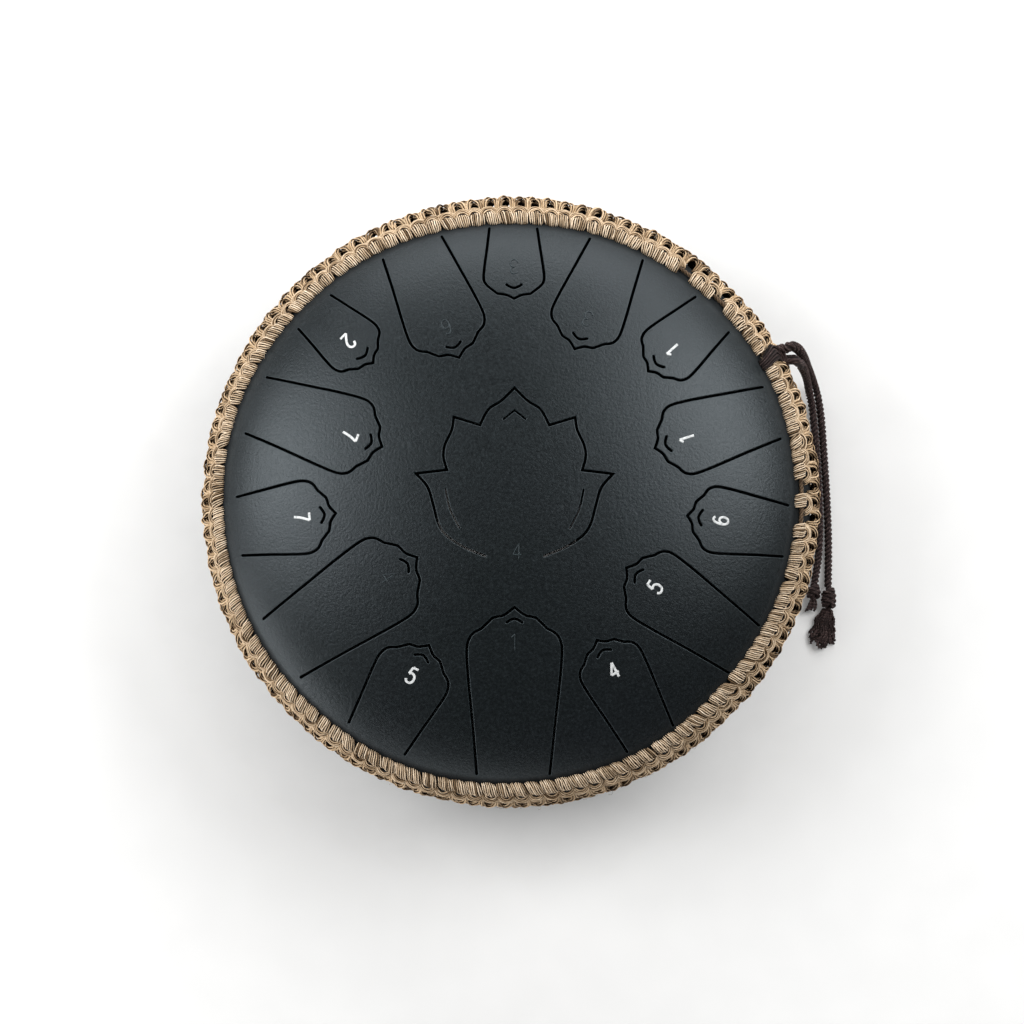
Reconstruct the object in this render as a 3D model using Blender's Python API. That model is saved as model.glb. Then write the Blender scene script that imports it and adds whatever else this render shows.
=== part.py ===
"""Steel tongue drum with a knotted rope belt, standing on four rubber feet.

Metres, +Z up. The origin is on the floor, under the drum's axis. The longest
tongue points to -Y. The two steel shells meet at the seam, where they are
widest, and the rope belt hides the weld.
"""
import math

import bmesh
import bpy
from mathutils import Vector

# ---- driving dimensions -------------------------------------------------

SHELL_RADIUS = 0.1778        # a 14 inch drum
STEEL = 0.0018
SEAM_Z = 0.092               # height of the seam above the floor
DOME_RISE = 0.060            # top of the drum above the seam
FOOT_HEIGHT = 0.012          # the flat base stands this far off the floor
BASE_RADIUS = 0.090          # flat part of the bottom shell
SOUND_HOLE_RADIUS = 0.045
GAP = 0.0003                 # clearance between pieces that touch
FACET_SLACK = 0.0002         # more clearance, where flat facets stand for a round
SEGMENTS = 40                # sides of every ring about the drum's axis

BOWL_DEPTH = SEAM_Z - FOOT_HEIGHT
FLOOR_LIFT = 0.0002          # cords and knots lie this far above the floor

# Weld of the seam: a bead in the V that the two chamfered rims leave.
SEAM_ROOT_GAP = 0.0004
SEAM_CHAMFER = 0.0012
BEAD_PROUD = 0.0006
BEAD_ROOT_DEPTH = 0.0009
BEAD_HALF_HEIGHT = 0.0012

# Tongues: azimuth in degrees, distance of the tip from the axis, half-width
# at the root and half-width at the shoulders, all measured in plan.
SLOT_END_RADIUS = 0.162
SLOT_WIDTH = 0.0016
TONGUES = (
    ("top", 90.0, 0.1160, 0.0142, 0.0177),
    ("top_right", 67.7, 0.0925, 0.0169, 0.0212),
    ("upper_right", 43.1, 0.1070, 0.0144, 0.0185),
    ("right", 18.7, 0.0860, 0.0162, 0.0212),
    ("low_right", -6.5, 0.1010, 0.0152, 0.0193),
    ("lower_right", -33.0, 0.0770, 0.0165, 0.0218),
    ("bottom_right", -60.3, 0.0962, 0.0155, 0.0195),
    ("bottom", -90.0, 0.0648, 0.0213, 0.0274),
    ("bottom_left", -119.6, 0.0995, 0.0188, 0.0224),
    ("lower_left", -147.1, 0.0667, 0.0203, 0.0257),
    ("low_left", -174.3, 0.1037, 0.0173, 0.0212),
    ("left", 159.9, 0.0815, 0.0177, 0.0229),
    ("upper_left", 136.6, 0.1130, 0.0139, 0.0178),
    ("top_left", 111.8, 0.0863, 0.0187, 0.0231),
)

# Half of a tongue's head from its tip to its shoulder, as (sideways, back) in
# shoulder half-widths: a peak with hollow flanks, two bumps, a round shoulder.
SCALLOPED_HEAD = ((0.0, 0.0), (0.13, 0.105), (0.24, 0.175), (0.36, 0.197), (0.46, 0.224),
                  (0.61, 0.367), (0.70, 0.45), (0.82, 0.512), (0.93, 0.62), (1.0, 0.86))
PLAIN_HEAD = ((0.0, 0.0), (0.25, 0.125), (0.54, 0.17), (0.90, 0.475), (1.0, 0.70))

# The small arc slit behind each tip.
ARC_BACK = 0.0066
ARC_HALF_CHORD = 0.0044
ARC_DEPTH = 0.0021

# Right half of the lotus in plan, from the tip down to the open end. Between
# two slot ends at its foot the lotus stays joined to the shell.
LOTUS_HALF = (
    (0.0, 0.0620), (0.0077, 0.0544), (0.0139, 0.0505), (0.0169, 0.0466), (0.0200, 0.0402),
    (0.0350, 0.0449), (0.0363, 0.0373), (0.0402, 0.0286), (0.0410, 0.0216), (0.0390, 0.0141),
    (0.0568, 0.0121), (0.0501, 0.0042), (0.0468, -0.0062), (0.0439, -0.0167),
    (0.0393, -0.0236), (0.0292, -0.0304), (0.0169, -0.0355),
)
LOTUS_CHEVRON = ((-0.0063, 0.0437), (0.0, 0.0488), (0.0063, 0.0437))
LOTUS_VEIN = ((0.0398, 0.0028), (0.0371, -0.0087), (0.0318, -0.0194))
VEIN_WIDTH = 0.0012

# Rope belt. Heights are measured from the seam along +Z, and mirrored below.
CORE_HEIGHT = 0.0180
CORE_RADIUS = 0.0013
WRAP_THICKNESS = 0.0015
WRAP_HALF_SPAN = 105.0       # degrees from the wraps' outermost line to their mouth
CHAIN_HEIGHT = 0.0121
CHAIN_HALF_WIDTH = 0.0021
CHAIN_THICKNESS = 0.0034
NET_HALF_HEIGHT = 0.0094
NET_OUTER_RADIUS = 0.1825
NET_CELLS = SEGMENTS
NET_HOLE_HALF_HEIGHT = 0.0062
NET_HOLE_FILL = 0.82         # width of a hole over the width of its cell

# Tie cord: a hitch on the belt and two tails that drop to the floor.
TIE_DIAMETER = 0.0044
HITCH_AZIMUTH = 29.2
HITCH_INNER_WIDTH = 0.0058
HITCH_OUTER_WIDTH = 0.0106
HITCH_THICKNESS = 0.0030
LONG_TAIL_ROUTE = (
    (0.1638, 0.0930, 0.0985), (0.1664, 0.0938, 0.0992), (0.1694, 0.0938, 0.0972),
    (0.1725, 0.0931, 0.0905), (0.1760, 0.0922, 0.0785), (0.1799, 0.0911, 0.0625),
    (0.1838, 0.0898, 0.0450), (0.1877, 0.0879, 0.0280), (0.1912, 0.0848, 0.0145),
    (0.1941, 0.0800, 0.0065), (0.1962, 0.0735, 0.0033), (0.1976, 0.0650, 0.0025),
    (0.1985, 0.0545, 0.0024), (0.1992, 0.0430, 0.0024), (0.1999, 0.0310, 0.0024),
    (0.2006, 0.0180, 0.0024), (0.2012, 0.0040, 0.0024), (0.2016, -0.0110, 0.0024),
    (0.2016, -0.0250, 0.0024), (0.2013, -0.0360, 0.0030), (0.2010, -0.0448, 0.0043),
)
SHORT_TAIL_ROUTE = (
    (0.1662, 0.0862, 0.0948), (0.1689, 0.0864, 0.0950), (0.1718, 0.0862, 0.0908),
    (0.1750, 0.0856, 0.0800), (0.1786, 0.0848, 0.0650), (0.1822, 0.0837, 0.0475),
    (0.1856, 0.0818, 0.0300), (0.1884, 0.0785, 0.0155), (0.1906, 0.0735, 0.0070),
    (0.1923, 0.0668, 0.0035), (0.1932, 0.0585, 0.0025), (0.1943, 0.0475, 0.0024),
    (0.1950, 0.0355, 0.0024), (0.1956, 0.0220, 0.0024), (0.1961, 0.0065, 0.0024),
    (0.1962, -0.0095, 0.0024), (0.1955, -0.0235, 0.0024), (0.1940, -0.0342, 0.0030),
    (0.1924, -0.0428, 0.0042),
)
LONG_KNOT_CENTRE = (0.2010, -0.0526, 0.0049)
LONG_KNOT_RADII = (0.0045, 0.0070, 0.0046)
SHORT_KNOT_CENTRE = (0.1914, -0.0484, 0.0047)
SHORT_KNOT_RADII = (0.0043, 0.0050, 0.0044)
TASSEL_START = (0.2006, -0.0600)
TASSEL_END = (0.1956, -0.0836)
TASSEL_HALF_WIDTHS = (0.0020, 0.0045, 0.0070, 0.0078)
TASSEL_HALF_HEIGHTS = (0.0022, 0.0030, 0.0030, 0.0022)

# Feet and their screws.
FOOT_CIRCLE_RADIUS = 0.072
FOOT_AZIMUTHS = (45.0, 135.0, 225.0, 315.0)
FOOT_TOP_RADIUS = 0.0140
FOOT_SOLE_RADIUS = 0.0120
COUNTERBORE_RADIUS = 0.0065
COUNTERBORE_DEPTH = 0.0046
SCREW_HOLE_RADIUS = 0.0028
SCREW_RADIUS = 0.0025
SCREW_HEAD_RADIUS = 0.0045
SCREW_HEAD_BOTTOM = 0.0008
SCREW_HEAD_HEIGHT = 0.0022
SCREW_TIP_Z = 0.0205
WASHER_RADIUS = 0.0058
WASHER_THICKNESS = 0.0010
NUT_ACROSS_FLATS = 0.0080
NUT_HEIGHT = 0.0040

# ---- materials ----------------------------------------------------------

MATERIALS = {
    "powder_coated_steel": ((0.030, 0.036, 0.040), 0.55, 0.35),
    "jute_rope": ((0.50, 0.36, 0.20), 0.95, 0.0),
    "dark_cord": ((0.020, 0.012, 0.011), 0.80, 0.0),
    "black_rubber": ((0.015, 0.015, 0.016), 0.85, 0.0),
    "zinc_steel": ((0.55, 0.55, 0.53), 0.35, 1.0),
    "weld_steel": ((0.12, 0.12, 0.12), 0.60, 0.8),
}


def own_material(node_name, finish):
    """A material for one node, in one of the object's finishes."""
    colour, roughness, metallic = MATERIALS[finish]
    material = bpy.data.materials.new(f"{node_name}.{finish}")
    material.use_nodes = True
    shader = material.node_tree.nodes["Principled BSDF"]
    shader.inputs["Base Color"].default_value = (*colour, 1.0)
    shader.inputs["Roughness"].default_value = roughness
    shader.inputs["Metallic"].default_value = metallic
    return material


# ---- mesh helpers -------------------------------------------------------

def clear_scene():
    for old in list(bpy.data.objects):
        bpy.data.objects.remove(old, do_unlink=True)


def add_object(name, data, finish):
    piece = bpy.data.objects.new(name, data)
    bpy.context.scene.collection.objects.link(piece)
    if finish:
        data.materials.append(own_material(name, finish))
    return piece


def mesh_piece(name, points, faces, finish, location=(0.0, 0.0, 0.0)):
    """A smooth shaded node from points and faces, with its faces turned out."""
    mesh = bpy.data.meshes.new(name)
    mesh.from_pydata([tuple(p) for p in points], [], faces)
    work = bmesh.new()
    work.from_mesh(mesh)
    bmesh.ops.recalc_face_normals(work, faces=work.faces)
    work.to_mesh(mesh)
    work.free()
    mesh.shade_smooth()
    mesh.set_sharp_from_angle(angle=math.radians(35.0))
    piece = add_object(name, mesh, finish)
    piece.location = location
    return piece


def revolve(profile, segments, turn=360.0, start=0.0):
    """Points and faces of a closed (radius, z) outline turned about Z."""
    points = []
    rows = []
    full = turn == 360.0
    steps = segments if full else segments + 1
    for radius, z in profile:
        if radius < 1e-9:
            rows.append([len(points)] * steps)
            points.append((0.0, 0.0, z))
            continue
        row = []
        for step in range(steps):
            angle = math.radians(start + turn * step / segments)
            row.append(len(points))
            points.append((radius * math.cos(angle), radius * math.sin(angle), z))
        rows.append(row)
    faces = []
    for index, row in enumerate(rows):
        following = rows[(index + 1) % len(rows)]
        for step in range(segments):
            ahead = (step + 1) % steps
            corners = [row[step], row[ahead], following[ahead], following[step]]
            unique = list(dict.fromkeys(corners))
            if len(unique) >= 3:
                faces.append(unique)
    if not full:
        faces.append([row[0] for row in rows])
        faces.append([row[-1] for row in rows])
    return points, faces


def ring_piece(name, profile, segments, finish, location=(0.0, 0.0, 0.0)):
    points, faces = revolve(profile, segments)
    return mesh_piece(name, points, faces, finish, location)


def smooth_curve(points, per_span):
    """A smooth curve through the given points, per_span steps between two."""
    route = [Vector(p) for p in points]
    ends = [2 * route[0] - route[1]] + route + [2 * route[-1] - route[-2]]
    curve = []
    for index in range(1, len(ends) - 2):
        before, here, there, after = ends[index - 1:index + 3]
        for step in range(per_span):
            t = step / per_span
            curve.append(0.5 * (2 * here + (there - before) * t
                                + (2 * before - 5 * here + 4 * there - after) * t ** 2
                                + (3 * here - before - 3 * there + after) * t ** 3))
    curve.append(route[-1])
    return curve


# ---- the shells' surfaces -----------------------------------------------

def shell_point(height, lift):
    """(radius, z) of the point lift outside the shell, height above the seam."""
    if height >= 0:
        radius = SHELL_RADIUS * math.sqrt(1 - (height / DOME_RISE) ** 2)
        slope = Vector((radius / SHELL_RADIUS ** 2, height / DOME_RISE ** 2))
    else:
        side = SHELL_RADIUS - BASE_RADIUS
        radius = BASE_RADIUS + side * math.sqrt(1 - (height / BOWL_DEPTH) ** 2)
        slope = Vector(((radius - BASE_RADIUS) / side ** 2, height / BOWL_DEPTH ** 2))
    slope.normalize()
    return Vector((radius, SEAM_Z + height)) + slope * lift


def quarter(radius, rise):
    """Points of a quarter ellipse, closest together at its side."""
    turns = (8.0, 16.0, 24.0, 33.0, 45.0, 59.0, 75.0, 90.0)
    return [(radius * math.cos(math.radians(turn)), rise * math.sin(math.radians(turn)))
            for turn in turns]


def top_shell_profile():
    rim = SEAM_Z + SEAM_ROOT_GAP / 2
    outer = [(r, SEAM_Z + z) for r, z in quarter(SHELL_RADIUS, DOME_RISE)]
    inner = [(r, SEAM_Z + z) for r, z in quarter(SHELL_RADIUS - STEEL, DOME_RISE - STEEL)]
    outer[-1] = (0.0, SEAM_Z + DOME_RISE)
    inner[-1] = (0.0, SEAM_Z + DOME_RISE - STEEL)
    foot = [(SHELL_RADIUS - STEEL, rim), (SHELL_RADIUS - SEAM_CHAMFER, rim),
            (SHELL_RADIUS, rim + SEAM_CHAMFER)]
    return foot + outer + inner[::-1]


def bottom_shell_profile():
    rim = SEAM_Z - SEAM_ROOT_GAP / 2
    side = SHELL_RADIUS - BASE_RADIUS
    outer = [(BASE_RADIUS + r, SEAM_Z - z) for r, z in quarter(side, BOWL_DEPTH)]
    inner = [(BASE_RADIUS + r, SEAM_Z - z)
             for r, z in quarter(side - STEEL, BOWL_DEPTH - STEEL)]
    foot = [(SHELL_RADIUS - STEEL, rim), (SHELL_RADIUS - SEAM_CHAMFER, rim),
            (SHELL_RADIUS, rim - SEAM_CHAMFER)]
    hole = [(SOUND_HOLE_RADIUS, FOOT_HEIGHT), (SOUND_HOLE_RADIUS, FOOT_HEIGHT + STEEL)]
    return foot + outer + hole + inner[::-1]


# ---- slots of the top shell ---------------------------------------------

def tongue_outline(tip, root_half, shoulder_half, head):
    """Slot centreline from one root end round the head to the other, in plan.

    The first coordinate runs outward along the tongue, the second across it.
    """
    half = [(tip + back * shoulder_half, side * shoulder_half) for side, back in head]
    reach = math.sqrt(SLOT_END_RADIUS ** 2 - root_half ** 2)
    half.append((reach, root_half))
    return [(u, -v) for u, v in half[:0:-1]] + half


def arc_slit(tip):
    """A short arc behind the tip, hollow towards the tongue's root."""
    steps = 2
    return [(tip + ARC_BACK + ARC_DEPTH * (i / steps * 2 - 1) ** 2,
             ARC_HALF_CHORD * (i / steps * 2 - 1)) for i in range(steps + 1)]


def placed(outline, azimuth):
    """Turn (along, across) coordinates into plan coordinates at an azimuth."""
    c = math.cos(math.radians(azimuth))
    s = math.sin(math.radians(azimuth))
    return [(u * c - v * s, u * s + v * c) for u, v in outline]


def slot_lines():
    """Every slot of the top shell as (centreline, width)."""
    lines = []
    for name, azimuth, tip, root_half, shoulder_half in TONGUES:
        head = PLAIN_HEAD if name == "top" else SCALLOPED_HEAD
        outline = tongue_outline(tip, root_half, shoulder_half, head)
        lines.append((placed(outline, azimuth), SLOT_WIDTH))
        lines.append((placed(arc_slit(tip), azimuth), SLOT_WIDTH))
    lotus = [(-x, y) for x, y in LOTUS_HALF[:0:-1]] + list(LOTUS_HALF)
    lines.append((lotus, SLOT_WIDTH))
    lines.append((list(LOTUS_CHEVRON), VEIN_WIDTH))
    for side in (-1, 1):
        lines.append(([(side * x, y) for x, y in LOTUS_VEIN], VEIN_WIDTH))
    return lines


def ribbon_sides(line, width):
    """Left and right edges of a ribbon of even width along a line, mitred."""
    route = [Vector(p) for p in line]
    left = []
    right = []
    for index, point in enumerate(route):
        into = (point - route[index - 1]).normalized() if index else None
        out = (route[index + 1] - point).normalized() if index < len(route) - 1 else None
        into = into or out
        out = out or into
        mitre = (into + out).normalized()
        across = Vector((-mitre.y, mitre.x))
        reach = width / 2 / max(0.5, mitre.dot(into))
        left.append(point + across * reach)
        right.append(point - across * reach)
    return left, right


def add_ribbon_prism(points, faces, line, width, z_low, z_high):
    """Append one closed slot cutter to shared lists of points and faces."""
    left, right = ribbon_sides(line, width)
    start = len(points)
    for a, b in zip(left, right):
        for side, z in ((a, z_low), (b, z_low), (b, z_high), (a, z_high)):
            points.append((side.x, side.y, z))
    for index in range(len(line) - 1):
        here = start + 4 * index
        there = here + 4
        for k in range(4):
            m = (k + 1) % 4
            faces.append([here + k, here + m, there + m, there + k])
    last = start + 4 * (len(line) - 1)
    faces.append([start, start + 3, start + 2, start + 1])
    faces.append([last, last + 1, last + 2, last + 3])


def hide_cutter(cutter):
    cutter.hide_render = True
    cutter.display_type = 'WIRE'


def cut(piece, cutter):
    """Take the cutter's shape out of the piece, leaving the cutter as a guide."""
    hide_cutter(cutter)
    boolean = piece.modifiers.new(cutter.name, 'BOOLEAN')
    boolean.operation = 'DIFFERENCE'
    boolean.solver = 'EXACT'
    boolean.object = cutter


def make_top_shell():
    shell = ring_piece("top_shell", top_shell_profile(), SEGMENTS, "powder_coated_steel")
    points = []
    faces = []
    for line, width in slot_lines():
        add_ribbon_prism(points, faces, line, width, SEAM_Z + 0.01, SEAM_Z + DOME_RISE + 0.01)
    cutter = mesh_piece("slot_cutter", points, faces, None)
    cut(shell, cutter)


def foot_places():
    for number, azimuth in enumerate(FOOT_AZIMUTHS, start=1):
        angle = math.radians(azimuth)
        yield number, (FOOT_CIRCLE_RADIUS * math.cos(angle),
                       FOOT_CIRCLE_RADIUS * math.sin(angle), 0.0)


def make_bottom_shell():
    shell = ring_piece("bottom_shell", bottom_shell_profile(), SEGMENTS,
                       "powder_coated_steel")
    hole_sides = 12
    points = []
    faces = []
    for _, (x, y, _) in foot_places():
        start = len(points)
        for z in (FOOT_HEIGHT - 2 * STEEL, FOOT_HEIGHT + 3 * STEEL):
            for side in range(hole_sides):
                angle = math.tau * side / hole_sides
                points.append((x + SCREW_HOLE_RADIUS * math.cos(angle),
                               y + SCREW_HOLE_RADIUS * math.sin(angle), z))
        for side in range(hole_sides):
            ahead = (side + 1) % hole_sides
            faces.append([start + side, start + ahead,
                          start + hole_sides + ahead, start + hole_sides + side])
        faces.append([start + side for side in range(hole_sides)][::-1])
        faces.append([start + hole_sides + side for side in range(hole_sides)])
    cutter = mesh_piece("screw_hole_cutter", points, faces, None)
    cut(shell, cutter)


def make_seam_weld():
    root = SHELL_RADIUS - BEAD_ROOT_DEPTH
    shoulder = SHELL_RADIUS + BEAD_PROUD / 2
    profile = [(root, SEAM_Z), (shoulder, SEAM_Z - BEAD_HALF_HEIGHT),
               (SHELL_RADIUS + BEAD_PROUD, SEAM_Z), (shoulder, SEAM_Z + BEAD_HALF_HEIGHT)]
    ring_piece("seam_weld_bead", profile, SEGMENTS, "weld_steel")


# ---- rope belt ----------------------------------------------------------

def belt_row_frame(height, lift):
    """Centre of a belt row and the direction away from the shell, in (r, z)."""
    centre = shell_point(height, lift)
    outward = (shell_point(height, lift + 0.001) - centre).normalized()
    return centre, outward


def make_core_cord(name, side):
    centre, _ = belt_row_frame(side * CORE_HEIGHT, GAP + CORE_RADIUS)
    sides = 6
    profile = [(centre.x + CORE_RADIUS * math.cos(math.tau * (k + 0.5) / sides),
                centre.y + CORE_RADIUS * math.sin(math.tau * (k + 0.5) / sides))
               for k in range(sides)]
    ring_piece(name, profile, SEGMENTS, "jute_rope")


def make_hitch_row(name, side):
    """The wraps over the core cord, an open C whose mouth faces the shell."""
    centre, outward = belt_row_frame(side * CORE_HEIGHT, GAP + CORE_RADIUS)
    middle = math.atan2(outward.y, outward.x)
    inner = CORE_RADIUS + GAP + FACET_SLACK
    outer = inner + WRAP_THICKNESS
    steps = 3
    span = math.radians(WRAP_HALF_SPAN)
    angles = [middle - span + 2 * span * k / steps for k in range(steps + 1)]
    profile = [(centre.x + outer * math.cos(a), centre.y + outer * math.sin(a)) for a in angles]
    profile += [(centre.x + inner * math.cos(a), centre.y + inner * math.sin(a))
                for a in reversed(angles)]
    ring_piece(name, profile, SEGMENTS, "jute_rope")


def make_chain_row(name, side):
    """The row of crossings between the wraps and the open net."""
    centre, outward = belt_row_frame(side * CHAIN_HEIGHT, GAP + CHAIN_THICKNESS / 2)
    along = Vector((-outward.y, outward.x))
    deep = CHAIN_THICKNESS / 2
    outline = ((-1.0, -0.9), (-1.0, 0.3), (-0.45, 1.0), (0.45, 1.0), (1.0, 0.3), (1.0, -0.9))
    profile = [tuple(centre + along * (a * CHAIN_HALF_WIDTH) + outward * (b * deep))
               for a, b in outline]
    ring_piece(name, profile, SEGMENTS, "jute_rope")


def make_side_net():
    """A band round the seam with a diamond opening in every cell."""
    inner_radius = SHELL_RADIUS + BEAD_PROUD + GAP + FACET_SLACK / 2
    cell = math.tau / NET_CELLS
    chord = math.cos(cell / 2)
    points = []
    for radius in (inner_radius, NET_OUTER_RADIUS):
        for z in (-NET_HALF_HEIGHT, NET_HALF_HEIGHT):
            for index in range(NET_CELLS):
                angle = cell * index
                points.append((radius * math.cos(angle), radius * math.sin(angle), SEAM_Z + z))
        reach = NET_HOLE_FILL * cell / 2
        for turn, z in ((-reach, 0.0), (0.0, NET_HOLE_HALF_HEIGHT), (reach, 0.0),
                        (0.0, -NET_HOLE_HALF_HEIGHT)):
            flat = radius * chord / math.cos(turn)
            for index in range(NET_CELLS):
                angle = cell * (index + 0.5) + turn
                points.append((flat * math.cos(angle), flat * math.sin(angle), SEAM_Z + z))
    layer = 6 * NET_CELLS

    def corner(skin, row, index):
        return skin * layer + row * NET_CELLS + index % NET_CELLS

    faces = []
    for i in range(NET_CELLS):
        for skin in (0, 1):
            low = [corner(skin, 0, i), corner(skin, 0, i + 1)]
            high = [corner(skin, 1, i), corner(skin, 1, i + 1)]
            left, top, right, bottom = (corner(skin, row, i) for row in (2, 3, 4, 5))
            faces += [[low[0], bottom, left], [low[0], low[1], bottom], [low[1], right, bottom],
                      [low[1], high[1], right], [high[1], top, right], [high[1], high[0], top],
                      [high[0], left, top], [high[0], low[0], left]]
        for here, there in ((2, 3), (3, 4), (4, 5), (5, 2)):
            faces.append([corner(0, here, i), corner(0, there, i),
                          corner(1, there, i), corner(1, here, i)])
        for row in (0, 1):
            faces.append([corner(0, row, i), corner(0, row, i + 1),
                          corner(1, row, i + 1), corner(1, row, i)])
    mesh_piece("belt_side_net", points, faces, "jute_rope")


def make_belt():
    for side, word in ((1, "upper"), (-1, "lower")):
        make_core_cord(f"belt_{word}_core_cord", side)
        make_hitch_row(f"belt_{word}_hitch_row", side)
        make_chain_row(f"belt_{word}_chain_row", side)
    make_side_net()


# ---- tie cord -----------------------------------------------------------

def hitch_profile():
    """(r, z) points of the hitch's inner face and, point by point, of its outer face."""
    skin = GAP + FACET_SLACK
    core, outward = belt_row_frame(CORE_HEIGHT, GAP + CORE_RADIUS)
    inward = Vector((-outward.y, outward.x))
    over_core = CORE_RADIUS + WRAP_THICKNESS + GAP + FACET_SLACK + skin
    over_chain = GAP + CHAIN_THICKNESS + 2 * skin
    over_net = NET_OUTER_RADIUS + skin
    slants = [math.radians(a) for a in (10.0, 50.0, 90.0)]
    away = [inward * math.cos(a) + outward * math.sin(a) for a in slants]
    inner = [core + direction * over_core for direction in away]
    inner += [shell_point(CHAIN_HEIGHT - 0.0015, over_chain),
              Vector((over_net, SEAM_Z + NET_HALF_HEIGHT)), Vector((over_net, SEAM_Z - 0.0010))]
    away += [Vector((0.72, 0.69)), Vector((0.95, 0.31)), Vector((1.0, 0.0))]
    outer = [place + direction * HITCH_THICKNESS for place, direction in zip(inner, away)]
    return inner, outer


def make_tie_hitch():
    """The wraps of the dark cord over the belt, wider on the belt's outside."""
    inner, outer = hitch_profile()
    profile = inner + outer[::-1]
    first = inner[0].x
    reach = inner[-1].x - first
    points = []
    steps = 3
    for step in range(steps + 1):
        for place in profile:
            part_way = min(1.0, max(0.0, (place.x - first) / reach))
            width = HITCH_INNER_WIDTH + part_way * (HITCH_OUTER_WIDTH - HITCH_INNER_WIDTH)
            turn = width / place.x * (step / steps - 0.5)
            angle = math.radians(HITCH_AZIMUTH) + turn
            points.append((place.x * math.cos(angle), place.x * math.sin(angle), place.y))
    count = len(profile)
    faces = [list(range(count)), [steps * count + k for k in range(count)]]
    for step in range(steps):
        for k in range(count):
            m = (k + 1) % count
            faces.append([step * count + k, step * count + m,
                          (step + 1) * count + m, (step + 1) * count + k])
    mesh_piece("tie_cord_hitch", points, faces, "dark_cord")


def make_tail(name, route):
    curve = bpy.data.curves.new(name, 'CURVE')
    curve.dimensions = '3D'
    curve.bevel_depth = TIE_DIAMETER / 2
    curve.bevel_resolution = 2
    curve.use_fill_caps = True
    spline = curve.splines.new('POLY')
    line = smooth_curve(route, 1)
    spline.points.add(len(line) - 1)
    for target, point in zip(spline.points, line):
        target.co = (*point, 1.0)
    spline.use_smooth = True
    return add_object(name, curve, "dark_cord")


def make_knot(name, centre, radii, axis):
    """A lump of the size of the knot, its long way along the cord."""
    turned = [0.0, 36.0, 72.0, 108.0, 144.0, 180.0]
    profile = [(math.sin(math.radians(a)), -math.cos(math.radians(a))) for a in turned]
    profile[0] = (0.0, -1.0)
    profile[-1] = (0.0, 1.0)
    unit, faces = revolve(profile, 10)
    angle = math.atan2(axis[1], axis[0]) - math.pi / 2
    c = math.cos(angle)
    s = math.sin(angle)
    points = []
    for x, y, z in unit:
        across = x * radii[0]
        along = z * radii[1]
        points.append((across * c - along * s, across * s + along * c, y * radii[2]))
    mesh_piece(name, points, faces, "dark_cord", centre)


def make_tassel():
    """The frayed end of the long tail, a flat brush that widens to its tip."""
    start = Vector(TASSEL_START)
    end = Vector(TASSEL_END)
    along = (end - start).normalized()
    across = Vector((-along.y, along.x))
    sides = 8
    rows = len(TASSEL_HALF_WIDTHS)
    points = []
    for row in range(rows):
        middle = start.lerp(end, row / (rows - 1))
        half_width = TASSEL_HALF_WIDTHS[row]
        half_height = TASSEL_HALF_HEIGHTS[row]
        for side in range(sides):
            angle = math.tau * (side + 0.5) / sides
            place = middle + across * (half_width * math.cos(angle))
            lift = FLOOR_LIFT + half_height * (1 + math.sin(angle))
            points.append((place.x, place.y, lift))
    faces = []
    for row in range(rows - 1):
        for side in range(sides):
            ahead = (side + 1) % sides
            faces.append([row * sides + side, row * sides + ahead,
                          (row + 1) * sides + ahead, (row + 1) * sides + side])
    faces.append(list(range(sides))[::-1])
    faces.append([(rows - 1) * sides + side for side in range(sides)])
    mesh_piece("long_tail_tassel", points, faces, "dark_cord")


def make_tie_cord():
    make_tie_hitch()
    make_tail("tie_cord_long_tail", LONG_TAIL_ROUTE)
    make_tail("tie_cord_short_tail", SHORT_TAIL_ROUTE)
    make_knot("long_tail_knot", LONG_KNOT_CENTRE, LONG_KNOT_RADII, (0.0, -1.0))
    make_knot("short_tail_knot", SHORT_KNOT_CENTRE, SHORT_KNOT_RADII, (-0.2, -1.0))
    make_tassel()


# ---- feet ---------------------------------------------------------------

def foot_profile():
    top = FOOT_HEIGHT - GAP
    return [(COUNTERBORE_RADIUS, 0.0), (FOOT_SOLE_RADIUS, 0.0), (FOOT_TOP_RADIUS, top),
            (SCREW_HOLE_RADIUS, top), (SCREW_HOLE_RADIUS, COUNTERBORE_DEPTH),
            (COUNTERBORE_RADIUS, COUNTERBORE_DEPTH)]


def screw_profile():
    shoulder = SCREW_HEAD_BOTTOM + SCREW_HEAD_HEIGHT
    return [(0.0, SCREW_HEAD_BOTTOM), (SCREW_HEAD_RADIUS * 0.8, SCREW_HEAD_BOTTOM),
            (SCREW_HEAD_RADIUS, shoulder - 0.0012), (SCREW_HEAD_RADIUS, shoulder),
            (SCREW_RADIUS, shoulder), (SCREW_RADIUS, SCREW_TIP_Z), (0.0, SCREW_TIP_Z)]


def washer_profile():
    low = COUNTERBORE_DEPTH - GAP - WASHER_THICKNESS
    high = COUNTERBORE_DEPTH - GAP
    return [(SCREW_HOLE_RADIUS, low), (WASHER_RADIUS, low), (WASHER_RADIUS, high),
            (SCREW_HOLE_RADIUS, high)]


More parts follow.
